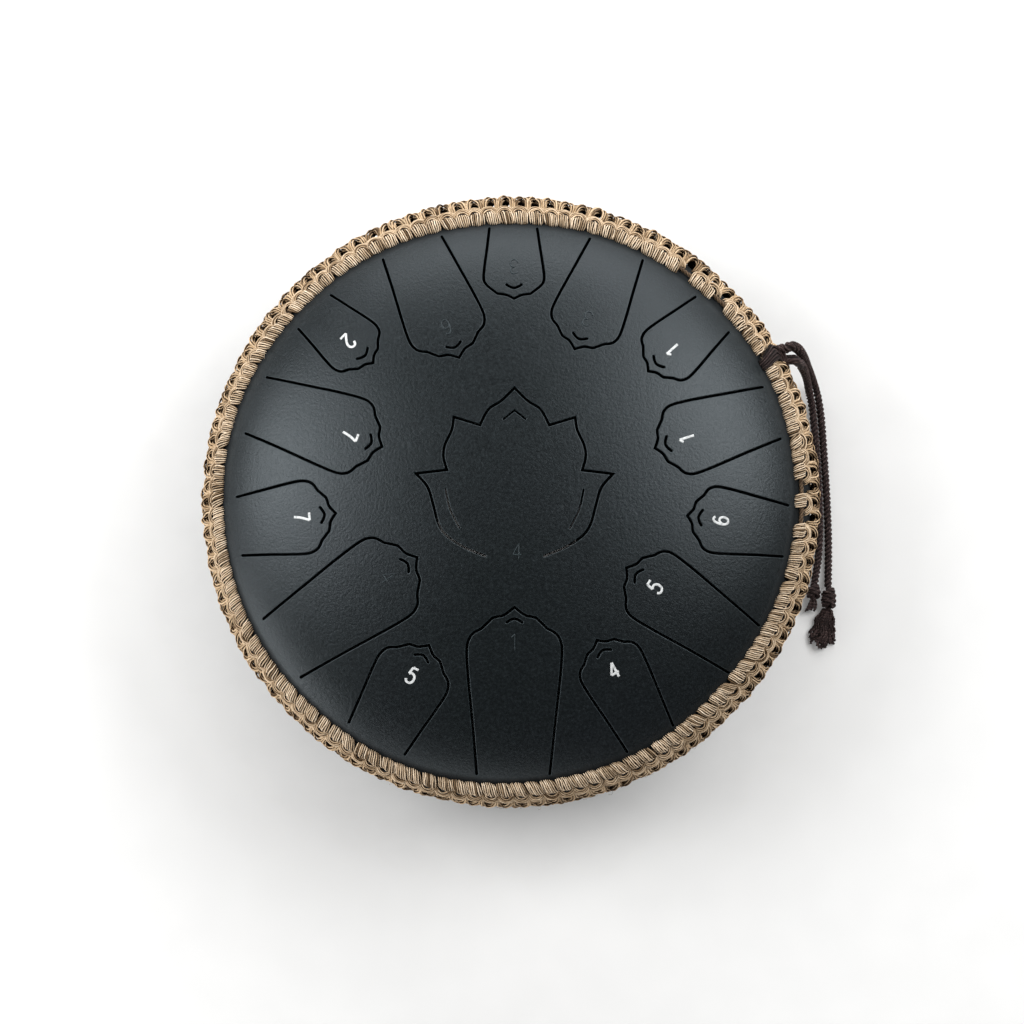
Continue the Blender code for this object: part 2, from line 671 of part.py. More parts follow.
def make_nut(name, location):
    """A hexagon nut with a round hole, standing on the bottom shell's inside."""
    low = FOOT_HEIGHT + STEEL + GAP
    high = low + NUT_HEIGHT
    corner = NUT_ACROSS_FLATS / math.sqrt(3)
    sides = 12
    points = []
    for z in (low, high):
        for side in range(sides):
            angle = math.tau * side / sides
            reach = corner if side % 2 == 0 else NUT_ACROSS_FLATS / 2
            points.append((reach * math.cos(angle), reach * math.sin(angle), z))
        for side in range(sides):
            angle = math.tau * side / sides
            points.append((SCREW_HOLE_RADIUS * math.cos(angle),
                           SCREW_HOLE_RADIUS * math.sin(angle), z))
    faces = []
    for side in range(sides):
        ahead = (side + 1) % sides
        low_rim = (side, ahead)
        low_hole = (sides + side, sides + ahead)
        high_rim = (2 * sides + side, 2 * sides + ahead)
        high_hole = (3 * sides + side, 3 * sides + ahead)
        for first, second in ((low_rim, high_rim), (high_rim, high_hole),
                              (high_hole, low_hole), (low_hole, low_rim)):
            faces.append([first[0], first[1], second[1], second[0]])
    mesh_piece(name, points, faces, "zinc_steel", location)


def make_feet():
    for number, place in foot_places():
        ring_piece(f"foot_{number}", foot_profile(), 14, "black_rubber", place)
        ring_piece(f"foot_screw_{number}", screw_profile(), 12, "zinc_steel", place)
        ring_piece(f"foot_washer_{number}", washer_profile(), 12, "zinc_steel", place)
        make_nut(f"foot_nut_{number}", place)


# ---- the drum -----------------------------------------------------------

def main():
    clear_scene()
    make_top_shell()
    make_bottom_shell()
    make_seam_weld()
    make_belt()
    make_tie_cord()
    make_feet()


main()
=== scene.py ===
"""Looks of the steel tongue drum: painted steel, a knotted jute belt and its tie cord."""
import math

import bpy
import numpy as np
from mathutils import Matrix, Vector, geometry, kdtree, noise


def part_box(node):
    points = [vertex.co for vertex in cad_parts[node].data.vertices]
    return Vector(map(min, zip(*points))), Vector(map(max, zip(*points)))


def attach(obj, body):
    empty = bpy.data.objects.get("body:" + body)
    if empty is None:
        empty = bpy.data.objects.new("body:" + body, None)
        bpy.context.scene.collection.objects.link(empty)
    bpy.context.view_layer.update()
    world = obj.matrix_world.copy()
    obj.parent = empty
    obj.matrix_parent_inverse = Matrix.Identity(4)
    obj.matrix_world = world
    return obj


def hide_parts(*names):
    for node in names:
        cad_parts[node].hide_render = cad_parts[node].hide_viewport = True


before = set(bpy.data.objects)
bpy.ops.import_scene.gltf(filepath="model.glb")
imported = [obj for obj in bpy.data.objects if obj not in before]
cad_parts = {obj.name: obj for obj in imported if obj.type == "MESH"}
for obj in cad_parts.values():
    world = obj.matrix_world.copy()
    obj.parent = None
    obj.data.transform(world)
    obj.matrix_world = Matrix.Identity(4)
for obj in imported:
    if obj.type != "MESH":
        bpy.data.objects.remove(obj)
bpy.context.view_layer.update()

MM = 0.001

# ---- the drum's sizes, read from the frame ---------------------------------

STEEL = 1.8 * MM
SEAM_ROOT_GAP = 0.4 * MM
top_low, top_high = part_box("top_shell")
bottom_low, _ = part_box("bottom_shell")
SHELL_RADIUS = top_high.x
SEAM_Z = top_low.z - SEAM_ROOT_GAP / 2
DOME_RISE = top_high.z - SEAM_Z
FOOT_HEIGHT = bottom_low.z
BOWL_DEPTH = SEAM_Z - FOOT_HEIGHT
BASE_RADIUS = 0.090
SOUND_HOLE_RADIUS = 0.045

# ---- the slots' sizes, as in the CAD model ---------------------------------

SLOT_END_RADIUS = 0.162
SLOT_WIDTH = 0.0016
VEIN_WIDTH = 0.0012
EDGE_ROUND = 0.38 * MM       # width of the rounded edge along every slot, painted lighter as a highlight
EDGE_DROP = 0.28 * MM

# name, azimuth in degrees, tip radius, half-width at the root and at the
# shoulders, the digit on the tongue and whether the digit is painted.
TONGUES = (
    ("top", 90.0, 0.1160, 0.0142, 0.0177, "3", False),
    ("top_right", 67.7, 0.0925, 0.0169, 0.0212, "3", False),
    ("upper_right", 43.1, 0.1070, 0.0144, 0.0185, "1", True),
    ("right", 18.7, 0.0860, 0.0162, 0.0212, "1", True),
    ("low_right", -6.5, 0.1010, 0.0152, 0.0193, "6", True),
    ("lower_right", -33.0, 0.0770, 0.0165, 0.0218, "5", True),
    ("bottom_right", -60.3, 0.0962, 0.0155, 0.0195, "4", True),
    ("bottom", -90.0, 0.0648, 0.0213, 0.0274, "1", False),
    ("bottom_left", -119.6, 0.0995, 0.0188, 0.0224, "5", True),
    ("lower_left", -147.1, 0.0667, 0.0203, 0.0257, "4", False),
    ("low_left", -174.3, 0.1037, 0.0173, 0.0212, "7", True),
    ("left", 159.9, 0.0815, 0.0177, 0.0229, "7", True),
    ("upper_left", 136.6, 0.1130, 0.0139, 0.0178, "2", True),
    ("top_left", 111.8, 0.0863, 0.0187, 0.0231, "6", False),
)

# Half of a tongue's head from its tip to its shoulder, as (sideways, back) in
# shoulder half-widths. Stretches between sharp corners are smooth curves.
SCALLOPED_HEAD = (
    ((0.0, 0.0), (0.13, 0.105), (0.24, 0.175), (0.36, 0.197), (0.46, 0.224)),
    ((0.46, 0.224), (0.61, 0.367), (0.70, 0.45), (0.82, 0.512), (0.93, 0.62), (1.0, 0.86)),
)
PLAIN_HEAD = (
    ((0.0, 0.0), (0.25, 0.125), (0.54, 0.17)),
    ((0.54, 0.17), (0.90, 0.475), (1.0, 0.70)),
)
# A short curved slit lies behind every tongue's tip.
ARC_BACK = 0.0066
ARC_HALF_CHORD = 0.0044
ARC_DEPTH = 0.0021

# Right half of the lotus in plan, one smooth stretch between two corners.
LOTUS_HALF = (
    ((0.0, 0.0620), (0.0077, 0.0544), (0.0139, 0.0505), (0.0169, 0.0466), (0.0200, 0.0402)),
    ((0.0200, 0.0402), (0.0350, 0.0449)),
    ((0.0350, 0.0449), (0.0363, 0.0373), (0.0402, 0.0286), (0.0410, 0.0216), (0.0390, 0.0141)),
    ((0.0390, 0.0141), (0.0568, 0.0121)),
    ((0.0568, 0.0121), (0.0501, 0.0042), (0.0468, -0.0062), (0.0439, -0.0167),
     (0.0393, -0.0236), (0.0292, -0.0304), (0.0169, -0.0355)),
)
LOTUS_CHEVRON = ((-0.0063, 0.0437), (0.0, 0.0488), (0.0063, 0.0437))
LOTUS_VEIN = ((0.0398, 0.0028), (0.0371, -0.0087), (0.0318, -0.0194))

# ---- the tie cord, as in the CAD model -------------------------------------

TIE_DIAMETER = 0.0044
HITCH_AZIMUTH = 29.2
LONG_TAIL_ROUTE = (
    (0.1638, 0.0930, 0.0985), (0.1664, 0.0938, 0.0992), (0.1694, 0.0938, 0.0972),
    (0.1725, 0.0931, 0.0905), (0.1760, 0.0922, 0.0785), (0.1799, 0.0911, 0.0625),
    (0.1838, 0.0898, 0.0450), (0.1877, 0.0879, 0.0280), (0.1912, 0.0848, 0.0145),
    (0.1941, 0.0800, 0.0065), (0.1962, 0.0735, 0.0033), (0.1976, 0.0650, 0.0025),
    (0.1985, 0.0545, 0.0024), (0.1992, 0.0430, 0.0024), (0.1999, 0.0310, 0.0024),
    (0.2006, 0.0180, 0.0024), (0.2012, 0.0040, 0.0024), (0.2016, -0.0110, 0.0024),
    (0.2016, -0.0250, 0.0024), (0.2013, -0.0360, 0.0030), (0.2010, -0.0448, 0.0043),
)
SHORT_TAIL_ROUTE = (
    (0.1662, 0.0862, 0.0948), (0.1689, 0.0864, 0.0950), (0.1718, 0.0862, 0.0908),
    (0.1750, 0.0856, 0.0800), (0.1786, 0.0848, 0.0650), (0.1822, 0.0837, 0.0475),
    (0.1856, 0.0818, 0.0300), (0.1884, 0.0785, 0.0155), (0.1906, 0.0735, 0.0070),
    (0.1923, 0.0668, 0.0035), (0.1932, 0.0585, 0.0025), (0.1943, 0.0475, 0.0024),
    (0.1950, 0.0355, 0.0024), (0.1956, 0.0220, 0.0024), (0.1961, 0.0065, 0.0024),
    (0.1962, -0.0095, 0.0024), (0.1955, -0.0235, 0.0024), (0.1940, -0.0342, 0.0030),
    (0.1924, -0.0428, 0.0042),
)

# ---- camera ----------------------------------------------------------------

CAMERA_DISTANCE = 1.6
CAMERA_LEAN = (-1.3, -5.0)   # degrees off straight above, towards +X and +Y
LENS = 94.2
AIM = Vector((-0.0002, -0.0053, SEAM_Z))


def linked(name, data):
    """A new object with this data, in the scene."""
    made = bpy.data.objects.new(name, data)
    bpy.context.scene.collection.objects.link(made)
    return made


def make_camera():
    x, y = (math.sin(math.radians(a)) for a in CAMERA_LEAN)
    away = Vector((x, y, math.sqrt(1 - x * x - y * y)))
    data = bpy.data.cameras.new("view")
    data.lens = LENS
    data.sensor_width = 36.0
    camera = linked("view", data)
    place = Vector((0.0, 0.0, SEAM_Z)) + away * CAMERA_DISTANCE
    forward = (AIM - place).normalized()
    right = forward.cross(Vector((0.0, 1.0, 0.0))).normalized()
    up = right.cross(forward)
    turned = Matrix((right, up, -forward)).transposed().to_4x4()
    camera.matrix_world = Matrix.Translation(place) @ turned
    bpy.context.scene.camera = camera


make_camera()

# ---- materials -------------------------------------------------------------


class Shader:
    """One Principled material and short calls to wire nodes to it."""

    def __init__(self, name, roughness, metallic=0.0, **sockets):
        self.material = bpy.data.materials.new(name)
        self.material.use_nodes = True
        self.tree = self.material.node_tree
        self.out = self.tree.nodes["Principled BSDF"]
        self.out.inputs["Roughness"].default_value = roughness
        self.out.inputs["Metallic"].default_value = metallic
        for socket, value in sockets.items():
            self.out.inputs[socket.replace("_", " ")].default_value = value

    def node(self, kind, inputs=None, **settings):
        made = self.tree.nodes.new(kind)
        for key, value in settings.items():
            setattr(made, key, value)
        for key, value in (inputs or {}).items():
            if isinstance(value, bpy.types.NodeSocket):
                self.tree.links.new(value, made.inputs[key])
            else:
                made.inputs[key].default_value = value
        return made

    def coordinates(self, scale, uv=False):
        """Object coordinates in metres, or the strand's own UV map, scaled."""
        if uv:
            source = self.node("ShaderNodeUVMap", uv_map="strand").outputs["UV"]
        else:
            source = self.node("ShaderNodeTexCoord").outputs["Object"]
        return self.node("ShaderNodeMapping", {"Vector": source, "Scale": scale}).outputs[0]

    def noise(self, place, scale, detail=3.0, roughness=0.55):
        return self.node("ShaderNodeTexNoise", {"Vector": place, "Scale": scale, "Detail": detail,
                                                "Roughness": roughness}).outputs["Fac"]

    def ramp(self, factor, stops):
        ramp = self.node("ShaderNodeValToRGB", {"Fac": factor})
        band = ramp.color_ramp
        while len(band.elements) < len(stops):
            band.elements.new(0.5)
        for element, (position, colour) in zip(band.elements, stops):
            element.position = position
            element.color = (*colour, 1.0) if len(colour) == 3 else colour
        return ramp.outputs["Color"]

    def grey(self, factor, low, high, black=0.0, white=1.0):
        """A factor stretched from low..high to the values black..white."""
        return self.node("ShaderNodeMapRange", {"Value": factor, "From Min": low, "From Max": high,
                                                "To Min": black, "To Max": white}).outputs[0]

    def times(self, first, second):
        """The product of two colours."""
        return self.node("ShaderNodeMix", {0: 1.0, 6: first, 7: second},
                         data_type='RGBA', blend_type='MULTIPLY').outputs[2]

    def colour(self, source):
        self.tree.links.new(source, self.out.inputs["Base Color"])

    def roughness(self, source):
        self.tree.links.new(source, self.out.inputs["Roughness"])

    def bump(self, height, distance, strength=1.0):
        """Stack a bump on the ones that were added before it."""
        below = self.out.inputs["Normal"].links
        inputs = {"Height": height, "Distance": distance, "Strength": strength}
        made = self.node("ShaderNodeBump", inputs)
        if below:
            self.tree.links.new(below[0].from_socket, made.inputs["Normal"])
        self.tree.links.new(made.outputs[0], self.out.inputs["Normal"])


CORE_HEIGHT = 17.1 * MM      # of the belt's core cords over and under the seam
# The hand-tied belt is not quite round. (cos, sin) parts in mm of how far out its inner
# edge sits, for one, two and three waves round the drum.
INNER_EDGE = ((-2.2, 0.2), (1.6, 0.8), (0.0, 0.9))
KNOT_REACH = 3.3 * MM        # from a core cord to the belt's edge
SHADE_BAND_WIDTH = 2.8 * MM       # of the painted shade band, and the duller coat, past the belt's edge
COAT_TINTS = ((0.30, (0.0050, 0.0074, 0.0082)), (0.52, (0.0066, 0.0090, 0.0102)),
              (0.72, (0.0084, 0.0106, 0.0126)))


def near_belt(paint, place):
    """1 under the belt, falling to 0 a little way past its edge: where the coat is painted dark as
    the belt's shade, and where the rope rubs it duller.
    """
    def math_node(operation, *values):
        return paint.node("ShaderNodeMath", dict(enumerate(values)), operation=operation).outputs[0]

    axes = paint.node("ShaderNodeSeparateXYZ", {"Vector": place}).outputs
    turn = math_node('ARCTAN2', axes["Y"], axes["X"])
    away = math_node('ABSOLUTE', math_node('SUBTRACT', axes["Z"], SEAM_Z))
    past = math_node('SUBTRACT', away, CORE_HEIGHT + KNOT_REACH)
    for waves, (c, s) in enumerate(INNER_EDGE, start=1):
        wave = math_node('COSINE', math_node('MULTIPLY_ADD', turn, waves, -math.atan2(s, c)))
        past = math_node('MULTIPLY_ADD', wave, math.hypot(c, s) * MM, past)
    return paint.grey(past, 0.0, SHADE_BAND_WIDTH, 1.0, 0.0)


def powder_coat(name, lift=1.0):
    """Matte blue-grey powder coat with a fine leathery grain and painted shade by the belt; lift
    scales its colour.
    """
    paint = Shader(name, 0.5, 0.0, Specular_Tint=(0.84, 0.94, 1.0, 1.0))
    place = paint.coordinates((1.0, 1.0, 1.0))
    broad = paint.noise(place, 9.0, 3.0)
    grain = paint.noise(place, 620.0, 4.0, 0.66)
    tint = paint.ramp(broad, [(stop, tuple(lift * c for c in colour))
                              for stop, colour in COAT_TINTS])
    fleck = paint.ramp(grain, ((0.38, (0.62, 0.62, 0.62)), (0.55, (1.0, 1.0, 1.0)),
                               (0.70, (1.75, 1.75, 1.75))))
    near = near_belt(paint, place)
    # Painted shade: the coat darkened to about an eighth of its colour by the belt's edge, where
    # the belt shades it.
    painted_belt_shade = paint.ramp(near, ((0.0, (1.0, 1.0, 1.0)), (0.9, (0.12, 0.12, 0.12))))
    paint.colour(paint.times(paint.times(tint, fleck), painted_belt_shade))
    smooth = paint.grey(grain, 0.3, 0.7, 0.31, 0.43)
    dulled = paint.grey(near, 0.0, 1.0, 0.0, 0.50)
    paint.roughness(paint.node("ShaderNodeMath", {0: smooth, 1: dulled}).outputs[0])
    paint.bump(grain, 0.30 * MM, 0.75)
    paint.bump(paint.noise(place, 1500.0, 2.0), 0.05 * MM, 0.5)
    return paint.material


def yarn(name, stretch, streaks, base, shade, depth, **sockets):
    """Spun fibre: long streaks along the strand, times the strand's tone, which holds painted shade
    and highlight.
    """
    made = Shader(name, 0.80, 0.0, Specular_IOR_Level=0.2, **sockets)
    streak = made.noise(made.coordinates(stretch, uv=True), *streaks)
    tone = made.node("ShaderNodeAttribute", attribute_name="tone").outputs["Fac"]
    made.colour(made.times(made.ramp(streak, base), made.ramp(tone, shade)))
    made.bump(streak, depth, 0.8)
    return made.material


def jute(name, light, middle, dark):
    """Dry plant fibre, each strand darker or paler by its tone: at random, with painted shade and
    highlight.
    """
    # Tone to a factor on the colour: painted shade at low tones, painted highlight at high ones.
    shade = ((0.0, (0.025, 0.015, 0.008)), (0.28, (0.27, 0.21, 0.145)),
             (0.54, (1.0, 0.95, 0.89)), (0.88, (1.36, 1.38, 1.42)))
    return yarn(name, (5.0, 0.9, 1.0), (2.6, 4.0, 0.65),
                ((0.32, dark), (0.46, middle), (0.62, light)), shade, 0.25 * MM,
                Sheen_Weight=0.03, Sheen_Roughness=0.5)


def dark_cord(name):
    """Dark brown cotton cord, slightly fuzzy."""
    base = ((0.30, (0.007, 0.004, 0.004)), (0.5, (0.033, 0.021, 0.020)),
            (0.70, (0.165, 0.122, 0.114)))
    # Tone to a factor on the colour: painted shade at low tones, painted highlight at high ones.
    shade = ((0.0, (0.08, 0.07, 0.07)), (0.45, (0.55, 0.52, 0.52)), (0.9, (1.9, 1.8, 1.8)))
    return yarn(name, (16.0, 1.5, 1.0), (2.0, 4.0, 0.6), base, shade, 0.2 * MM,
                Sheen_Weight=0.05, Sheen_Roughness=0.45, Sheen_Tint=(0.45, 0.36, 0.34, 1.0))


def speckled(name, base, colours, sheen, relief, stretch=1.0, **sockets):
    """A plain material: noises for its colour, roughness and relief.

    base is (roughness, metallic), colours is (noise, stops), sheen is (noise, low, high)
    or None for an even roughness, and relief is (noise, depth in mm, strength).
    """
    made = Shader(name, *base, **sockets)
    place = made.coordinates((1.0, 1.0, stretch))
    made.colour(made.ramp(made.noise(place, *colours[0]), colours[1]))
    if sheen:
        made.roughness(made.grey(made.noise(place, *sheen[0]), 0.3, 0.7, *sheen[1:]))
    made.bump(made.noise(place, *relief[0]), relief[1] * MM, relief[2])
    return made.material


PAINT = powder_coat("powder_coat")
# A copy of the coat 3.4 times lighter: a painted highlight on the slots' rounded edges and the
# raised digits.
HIGHLIGHT_PAINT = powder_coat("powder_coat_rubbed_edge", 3.4)
# A copy of the coat at 0.16 of its colour: painted shade on the walls of the narrow slots.
SLOT_SHADE_PAINT = powder_coat("powder_coat_painted_slot_shade", 0.16)
JUTE = jute("jute_light", (0.83, 0.71, 0.55), (0.60, 0.45, 0.30), (0.20, 0.12, 0.055))
JUTE_CAPS = jute("jute_warm", (0.76, 0.615, 0.44), (0.50, 0.36, 0.225), (0.17, 0.095, 0.042))
JUTE_LOOPS = jute("jute_side", (0.74, 0.575, 0.39), (0.48, 0.335, 0.195), (0.16, 0.088, 0.04))
# The same jute much darker on the core cords: painted shade, where the wraps shade them.
JUTE_CORE_SHADED = jute("jute_core_painted_shade", (0.20, 0.14, 0.09), (0.11, 0.073, 0.044), (0.04, 0.025, 0.014))
DARK_CORD = dark_cord("dark_cord_yarn")
RUBBER = speckled(
    "foot_rubber", (0.72, 0.0),
    ((160.0, 5.0, 0.7), ((0.35, (0.010, 0.010, 0.011)), (0.60, (0.022, 0.022, 0.023)),
                         (0.78, (0.060, 0.058, 0.055)))),
    ((160.0, 5.0, 0.7), 0.6, 0.85), ((1400.0, 3.0), 0.06, 0.6), Specular_IOR_Level=0.4)
ZINC = speckled(
    "zinc_plate", (0.32, 1.0),
    ((120.0, 3.0), ((0.30, (0.42, 0.42, 0.40)), (0.55, (0.58, 0.58, 0.57)),
                    (0.75, (0.66, 0.65, 0.60)))),
    ((900.0, 4.0, 0.7), 0.24, 0.46), ((900.0, 4.0, 0.7), 0.03, 0.5), stretch=0.25)
WELD = speckled(
    "weld_metal", (0.5, 0.75),
    ((60.0, 3.0), ((0.30, (0.020, 0.022, 0.026)), (0.55, (0.055, 0.060, 0.068)),
                   (0.75, (0.12, 0.12, 0.125)))),
    ((500.0,), 0.35, 0.65), ((900.0,), 0.08, 0.5))
MARKING = speckled(
    "digit_paint", (0.55, 0.0),
    ((700.0, 3.0), ((0.30, (0.42, 0.44, 0.45)), (0.48, (0.74, 0.76, 0.76)),
                    (0.70, (0.86, 0.88, 0.88)))),
    None, ((700.0, 3.0), 0.03, 0.5))

# ---- mesh making -----------------------------------------------------------


def add_piece(name, mesh, materials, slot, *nodes):
    """A piece of the drum that stands for CAD nodes."""
    for material in materials:
        mesh.materials.append(material)
    piece = linked(name, mesh)
    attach(piece, "root")
    if nodes:
        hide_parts(*nodes)
    return piece


def grid_mesh(name, vertices, quads, caps=(), uv=None, tone=None):
    """A smooth mesh from arrays: quads (n, 4), caps (m, k), uv (corners, 2), tone (vertices,)."""
    mesh = bpy.data.meshes.new(name)
    corners = [quads.ravel()]
    sizes = [np.full(len(quads), 4)]
    for cap in caps:
        corners.append(cap.ravel())
        sizes.append(np.full(len(cap), cap.shape[1]))
    corners = np.concatenate(corners)
    sizes = np.concatenate(sizes)
    mesh.vertices.add(len(vertices))
    mesh.vertices.foreach_set("co", np.asarray(vertices, np.float32).ravel())
    mesh.loops.add(len(corners))
    mesh.loops.foreach_set("vertex_index", corners.astype(np.int32))
    mesh.polygons.add(len(sizes))
    mesh.polygons.foreach_set("loop_start", (np.cumsum(sizes) - sizes).astype(np.int32))
    if uv is not None:
        layer = mesh.uv_layers.new(name="strand")
        layer.data.foreach_set("uv", np.asarray(uv, np.float32).ravel())
    if tone is not None:
        shade = mesh.attributes.new("tone", 'FLOAT', 'POINT')
        shade.data.foreach_set("value", np.asarray(tone, np.float32))
    mesh.validate()
    mesh.update(calc_edges=True)
    mesh.shade_smooth()
    return mesh


def unit(vectors):
    return vectors / np.maximum(np.linalg.norm(vectors, axis=-1, keepdims=True), 1e-12)


def run_along(line):
    """Distance along a line, or along each line of an array."""
    step = np.linalg.norm(np.diff(line, axis=-2), axis=-1)
    return np.concatenate([np.zeros_like(step[..., :1]), np.cumsum(step, axis=-1)], axis=-1)


def resampled(line, count):
    """The line's points again, count of them at equal steps."""
    run = run_along(line)
    at = np.linspace(0.0, run[-1], count)
    return np.stack([np.interp(at, run, line[:, k]) for k in range(3)], axis=1)


def lattice(index):
    """Quads between the rows of an index grid; each row closes on itself."""
    beside = np.roll(index, -1, axis=-1)
    return np.stack([index[..., :-1, :], beside[..., :-1, :], beside[..., 1:, :],
                     index[..., 1:, :]], axis=-1).reshape(-1, 4)


def strand_uv(run, around):
    """The corners' UVs for a lattice: u goes round the strand, v along it."""
    u = np.arange(around + 1) / around
    u = np.stack([u[:-1], u[1:], u[1:], u[:-1]], axis=-1)
    v = run / (10 * MM)
    v = np.stack([v[..., :-1], v[..., :-1], v[..., 1:], v[..., 1:]], axis=-1)[..., None, :]
    return np.stack(np.broadcast_arrays(u, v), axis=-1).reshape(-1, 2)


def smoothed(controls, per_span):
    """Smooth curves through arrays of control points (strands, points, 3)."""
    c = np.concatenate([2 * controls[:, :1] - controls[:, 1:2], controls,
                        2 * controls[:, -1:] - controls[:, -2:-1]], axis=1)
    before, here, there, after = (c[:, k:c.shape[1] - 3 + k, None] for k in range(4))
    t = (np.arange(per_span) / per_span)[None, None, :, None]
    curve = 0.5 * (2 * here + (there - before) * t
                   + (2 * before - 5 * here + 4 * there - after) * t ** 2
                   + (3 * here - before - 3 * there + after) * t ** 3)
    curve = curve.reshape(len(controls), -1, 3)
    return np.concatenate([curve, controls[:, -1:]], axis=1)


STREAK_SHIFT = 7.31 * MM     # between one strand's streaks and the next one's
SIDE_SHADE = 0.03             # painted shade: the tone down in the gaps between strands, as a part of the crest's


def tube_mesh(name, paths, across, radius, tone, sides=6, flat=0.95):
    """Tubes along paths (strands, points, 3), widest in the direction across.

    radius is (strands, points) and tone is (strands,).
    """
    strands, count, _ = paths.shape
    tangent = unit(np.gradient(paths, axis=1))
    side = unit(across - tangent * (across * tangent).sum(-1, keepdims=True))
    up = np.cross(tangent, side)
    angle = np.arange(sides) * math.tau / sides
    ring = (np.cos(angle)[:, None] * side[:, :, None]
            + flat * np.sin(angle)[:, None] * up[:, :, None])
    vertices = (paths[:, :, None] + radius[:, :, None, None] * ring).reshape(-1, 3)
    index = np.arange(strands * count * sides).reshape(strands, count, sides)
    run = run_along(paths) + STREAK_SHIFT * np.arange(strands)[:, None]
    caps = [index[:, 0, ::-1], index[:, -1]]
    cap_uv = np.zeros((2 * strands * sides, 2))
    # Painted shade and highlight: each strand's tone falls from its crest down its sides.
    painted_crest_light = SIDE_SHADE + (1 - SIDE_SHADE) * (0.5 + 0.5 * np.sin(angle)) ** 4
    shade = (tone[:, None, None] * np.broadcast_to(painted_crest_light, (strands, count, sides))).ravel()
    return grid_mesh(name, vertices, lattice(index), caps,
                     np.concatenate([strand_uv(run, sides), cap_uv]), shade)


def carried_frames(line):
    """Side and up along a line, without twist."""
    tangent = unit(np.gradient(line, axis=0))
    side = np.zeros_like(line)
    first = np.cross(tangent[0], (0.31, 0.17, 0.93))
    side[0] = first / np.linalg.norm(first)
    for k in range(1, len(line)):
        carried = side[k - 1] - tangent[k] * np.dot(side[k - 1], tangent[k])
        side[k] = carried / np.linalg.norm(carried)
    return side, np.cross(tangent, side)


def evenly(line, step):
    """The line's points again, at equal steps of about that length."""
    return resampled(line, max(4, int(round(run_along(line)[-1] / step)) + 1))


VALLEY = 0.66                # of the rope's radius, where the valleys between plies end
YARN_RIPPLE = 0.045          # of the rope's radius


def rope_rings(line, radius, plies, lay, yarns, around, opening=0.0, closed=False):
    """Rings of a twisted rope: plies with yarns of their own, lay metres to a turn.

    With opening, the plies run straight for half of it, and the twist is full one
    opening further on, as at an untwisted end.
    """
    side, up = carried_frames(line)
    run = run_along(line)
    turning = np.clip(run / opening - 0.5, 0.0, 1.0) if opening else np.ones(len(run))
    twist = np.concatenate([[0.0], np.cumsum(turning[:-1] * np.diff(run))]) * math.tau / lay
    if closed:
        drift = math.atan2(np.dot(side[-1], up[0]), np.dot(side[-1], side[0]))
        twist += np.linspace(0.0, -drift, len(line))
        turns = round((twist[-1] + drift) / math.tau)
        twist *= (turns * math.tau - drift) / twist[-1]
    angle = np.arange(around) * math.tau / around
    local = (angle[None, :] - twist[:, None]) * plies / math.tau
    across = 2 * (local - np.floor(local)) - 1
    bend = across * math.pi / plies
    ply = 1 / (1 + 1 / math.sin(math.pi / plies))
    centre = 1 - ply
    lobe = centre * np.cos(bend) + np.sqrt(
        np.maximum(ply ** 2 - (centre * np.sin(bend)) ** 2, 1e-6))
    lobe = np.maximum(lobe, VALLEY)
    ripple = np.cos(math.tau * (yarns * across / 2 + run[:, None] / (0.55 * lay)))
    size = lobe + YARN_RIPPLE * ripple * (1 - across ** 2 * 0.5)
    # Painted shade in the valleys between plies, and painted highlight on the yarns' ripples.
    tone = np.clip(0.62 + 0.32 * ripple * (1 - across ** 4) - 0.72 * across ** 4, 0.0, 1.0)
    reach = np.asarray(radius) if np.ndim(radius) else np.full(len(line), radius)
    reach = reach[:, None, None] * size[:, :, None]
    ring = np.cos(angle)[None, :, None] * side[:, None] + np.sin(angle)[None, :, None] * up[:, None]
    return line[:, None] + reach * ring, tone, run


def rope_mesh(name, ropes, closed=False):
    """One mesh from several ropes, each what rope_rings returns."""
    vertices, tones, quads, caps, uvs = [], [], [], [], []
    start = 0
    for rings, tone, run in ropes:
        count, around, _ = rings.shape
        index = start + np.arange(count * around).reshape(count, around)
        if closed:
            rings, tone, index = rings[:-1], tone[:-1], np.concatenate([index[:-1], index[:1]])
        else:
            caps += [index[:1, ::-1], index[-1:]]
        quads.append(lattice(index))
        uvs.append(strand_uv(run, around))
        vertices.append(rings.reshape(-1, 3))
        tones.append(tone.ravel())
        start += len(vertices[-1])
    uvs.append(np.zeros((sum(cap.size for cap in caps), 2)))
    return grid_mesh(name, np.concatenate(vertices), np.concatenate(quads), caps,
                     np.concatenate(uvs), np.concatenate(tones))


# ---- tie cord --------------------------------------------------------------

ROPE_STEP = 0.45 * MM
ROPE_RADIUS = TIE_DIAMETER / 2
ROPE_FULLNESS = 1.12         # the plies' crests stand out this much over the mean radius
LOOSE_FULLNESS = 0.40        # and this much more where the cord leaves the hitch
LOOSE_RUN = 65 * MM
TUCKED = 4.6 * MM            # of the cord lies under the hitch before its free length
LAID_LIFT = 0.15 * MM        # lifts the crests off the floor
TAIL_LAY = 8.5 * MM          # the length of one turn of the plies
KNOT_LAY = 9 * MM
STUB_YARNS = 6


def make_tail(name, node, route, exit_lay):
    """A tail of the tie cord along its route; returns the piece and its middle line."""
    start = np.array(route[0]) - unit(np.array(route[1]) - np.array(route[0])) * TUCKED
    line = evenly(smoothed(np.array([(tuple(start), *route)]), 8)[0], ROPE_STEP)
    line[:, 2] += LAID_LIFT
    loose = np.clip(1 - np.arange(len(line)) * ROPE_STEP / LOOSE_RUN, 0.0, 1.0)
    radius = ROPE_RADIUS * (ROPE_FULLNESS + LOOSE_FULLNESS * loose)
    rope = rope_rings(line, radius, 3, TAIL_LAY, 3, 36, opening=exit_lay)
    return add_piece(name, rope_mesh(name, [rope]), [DARK_CORD], "dark_cord", node), line


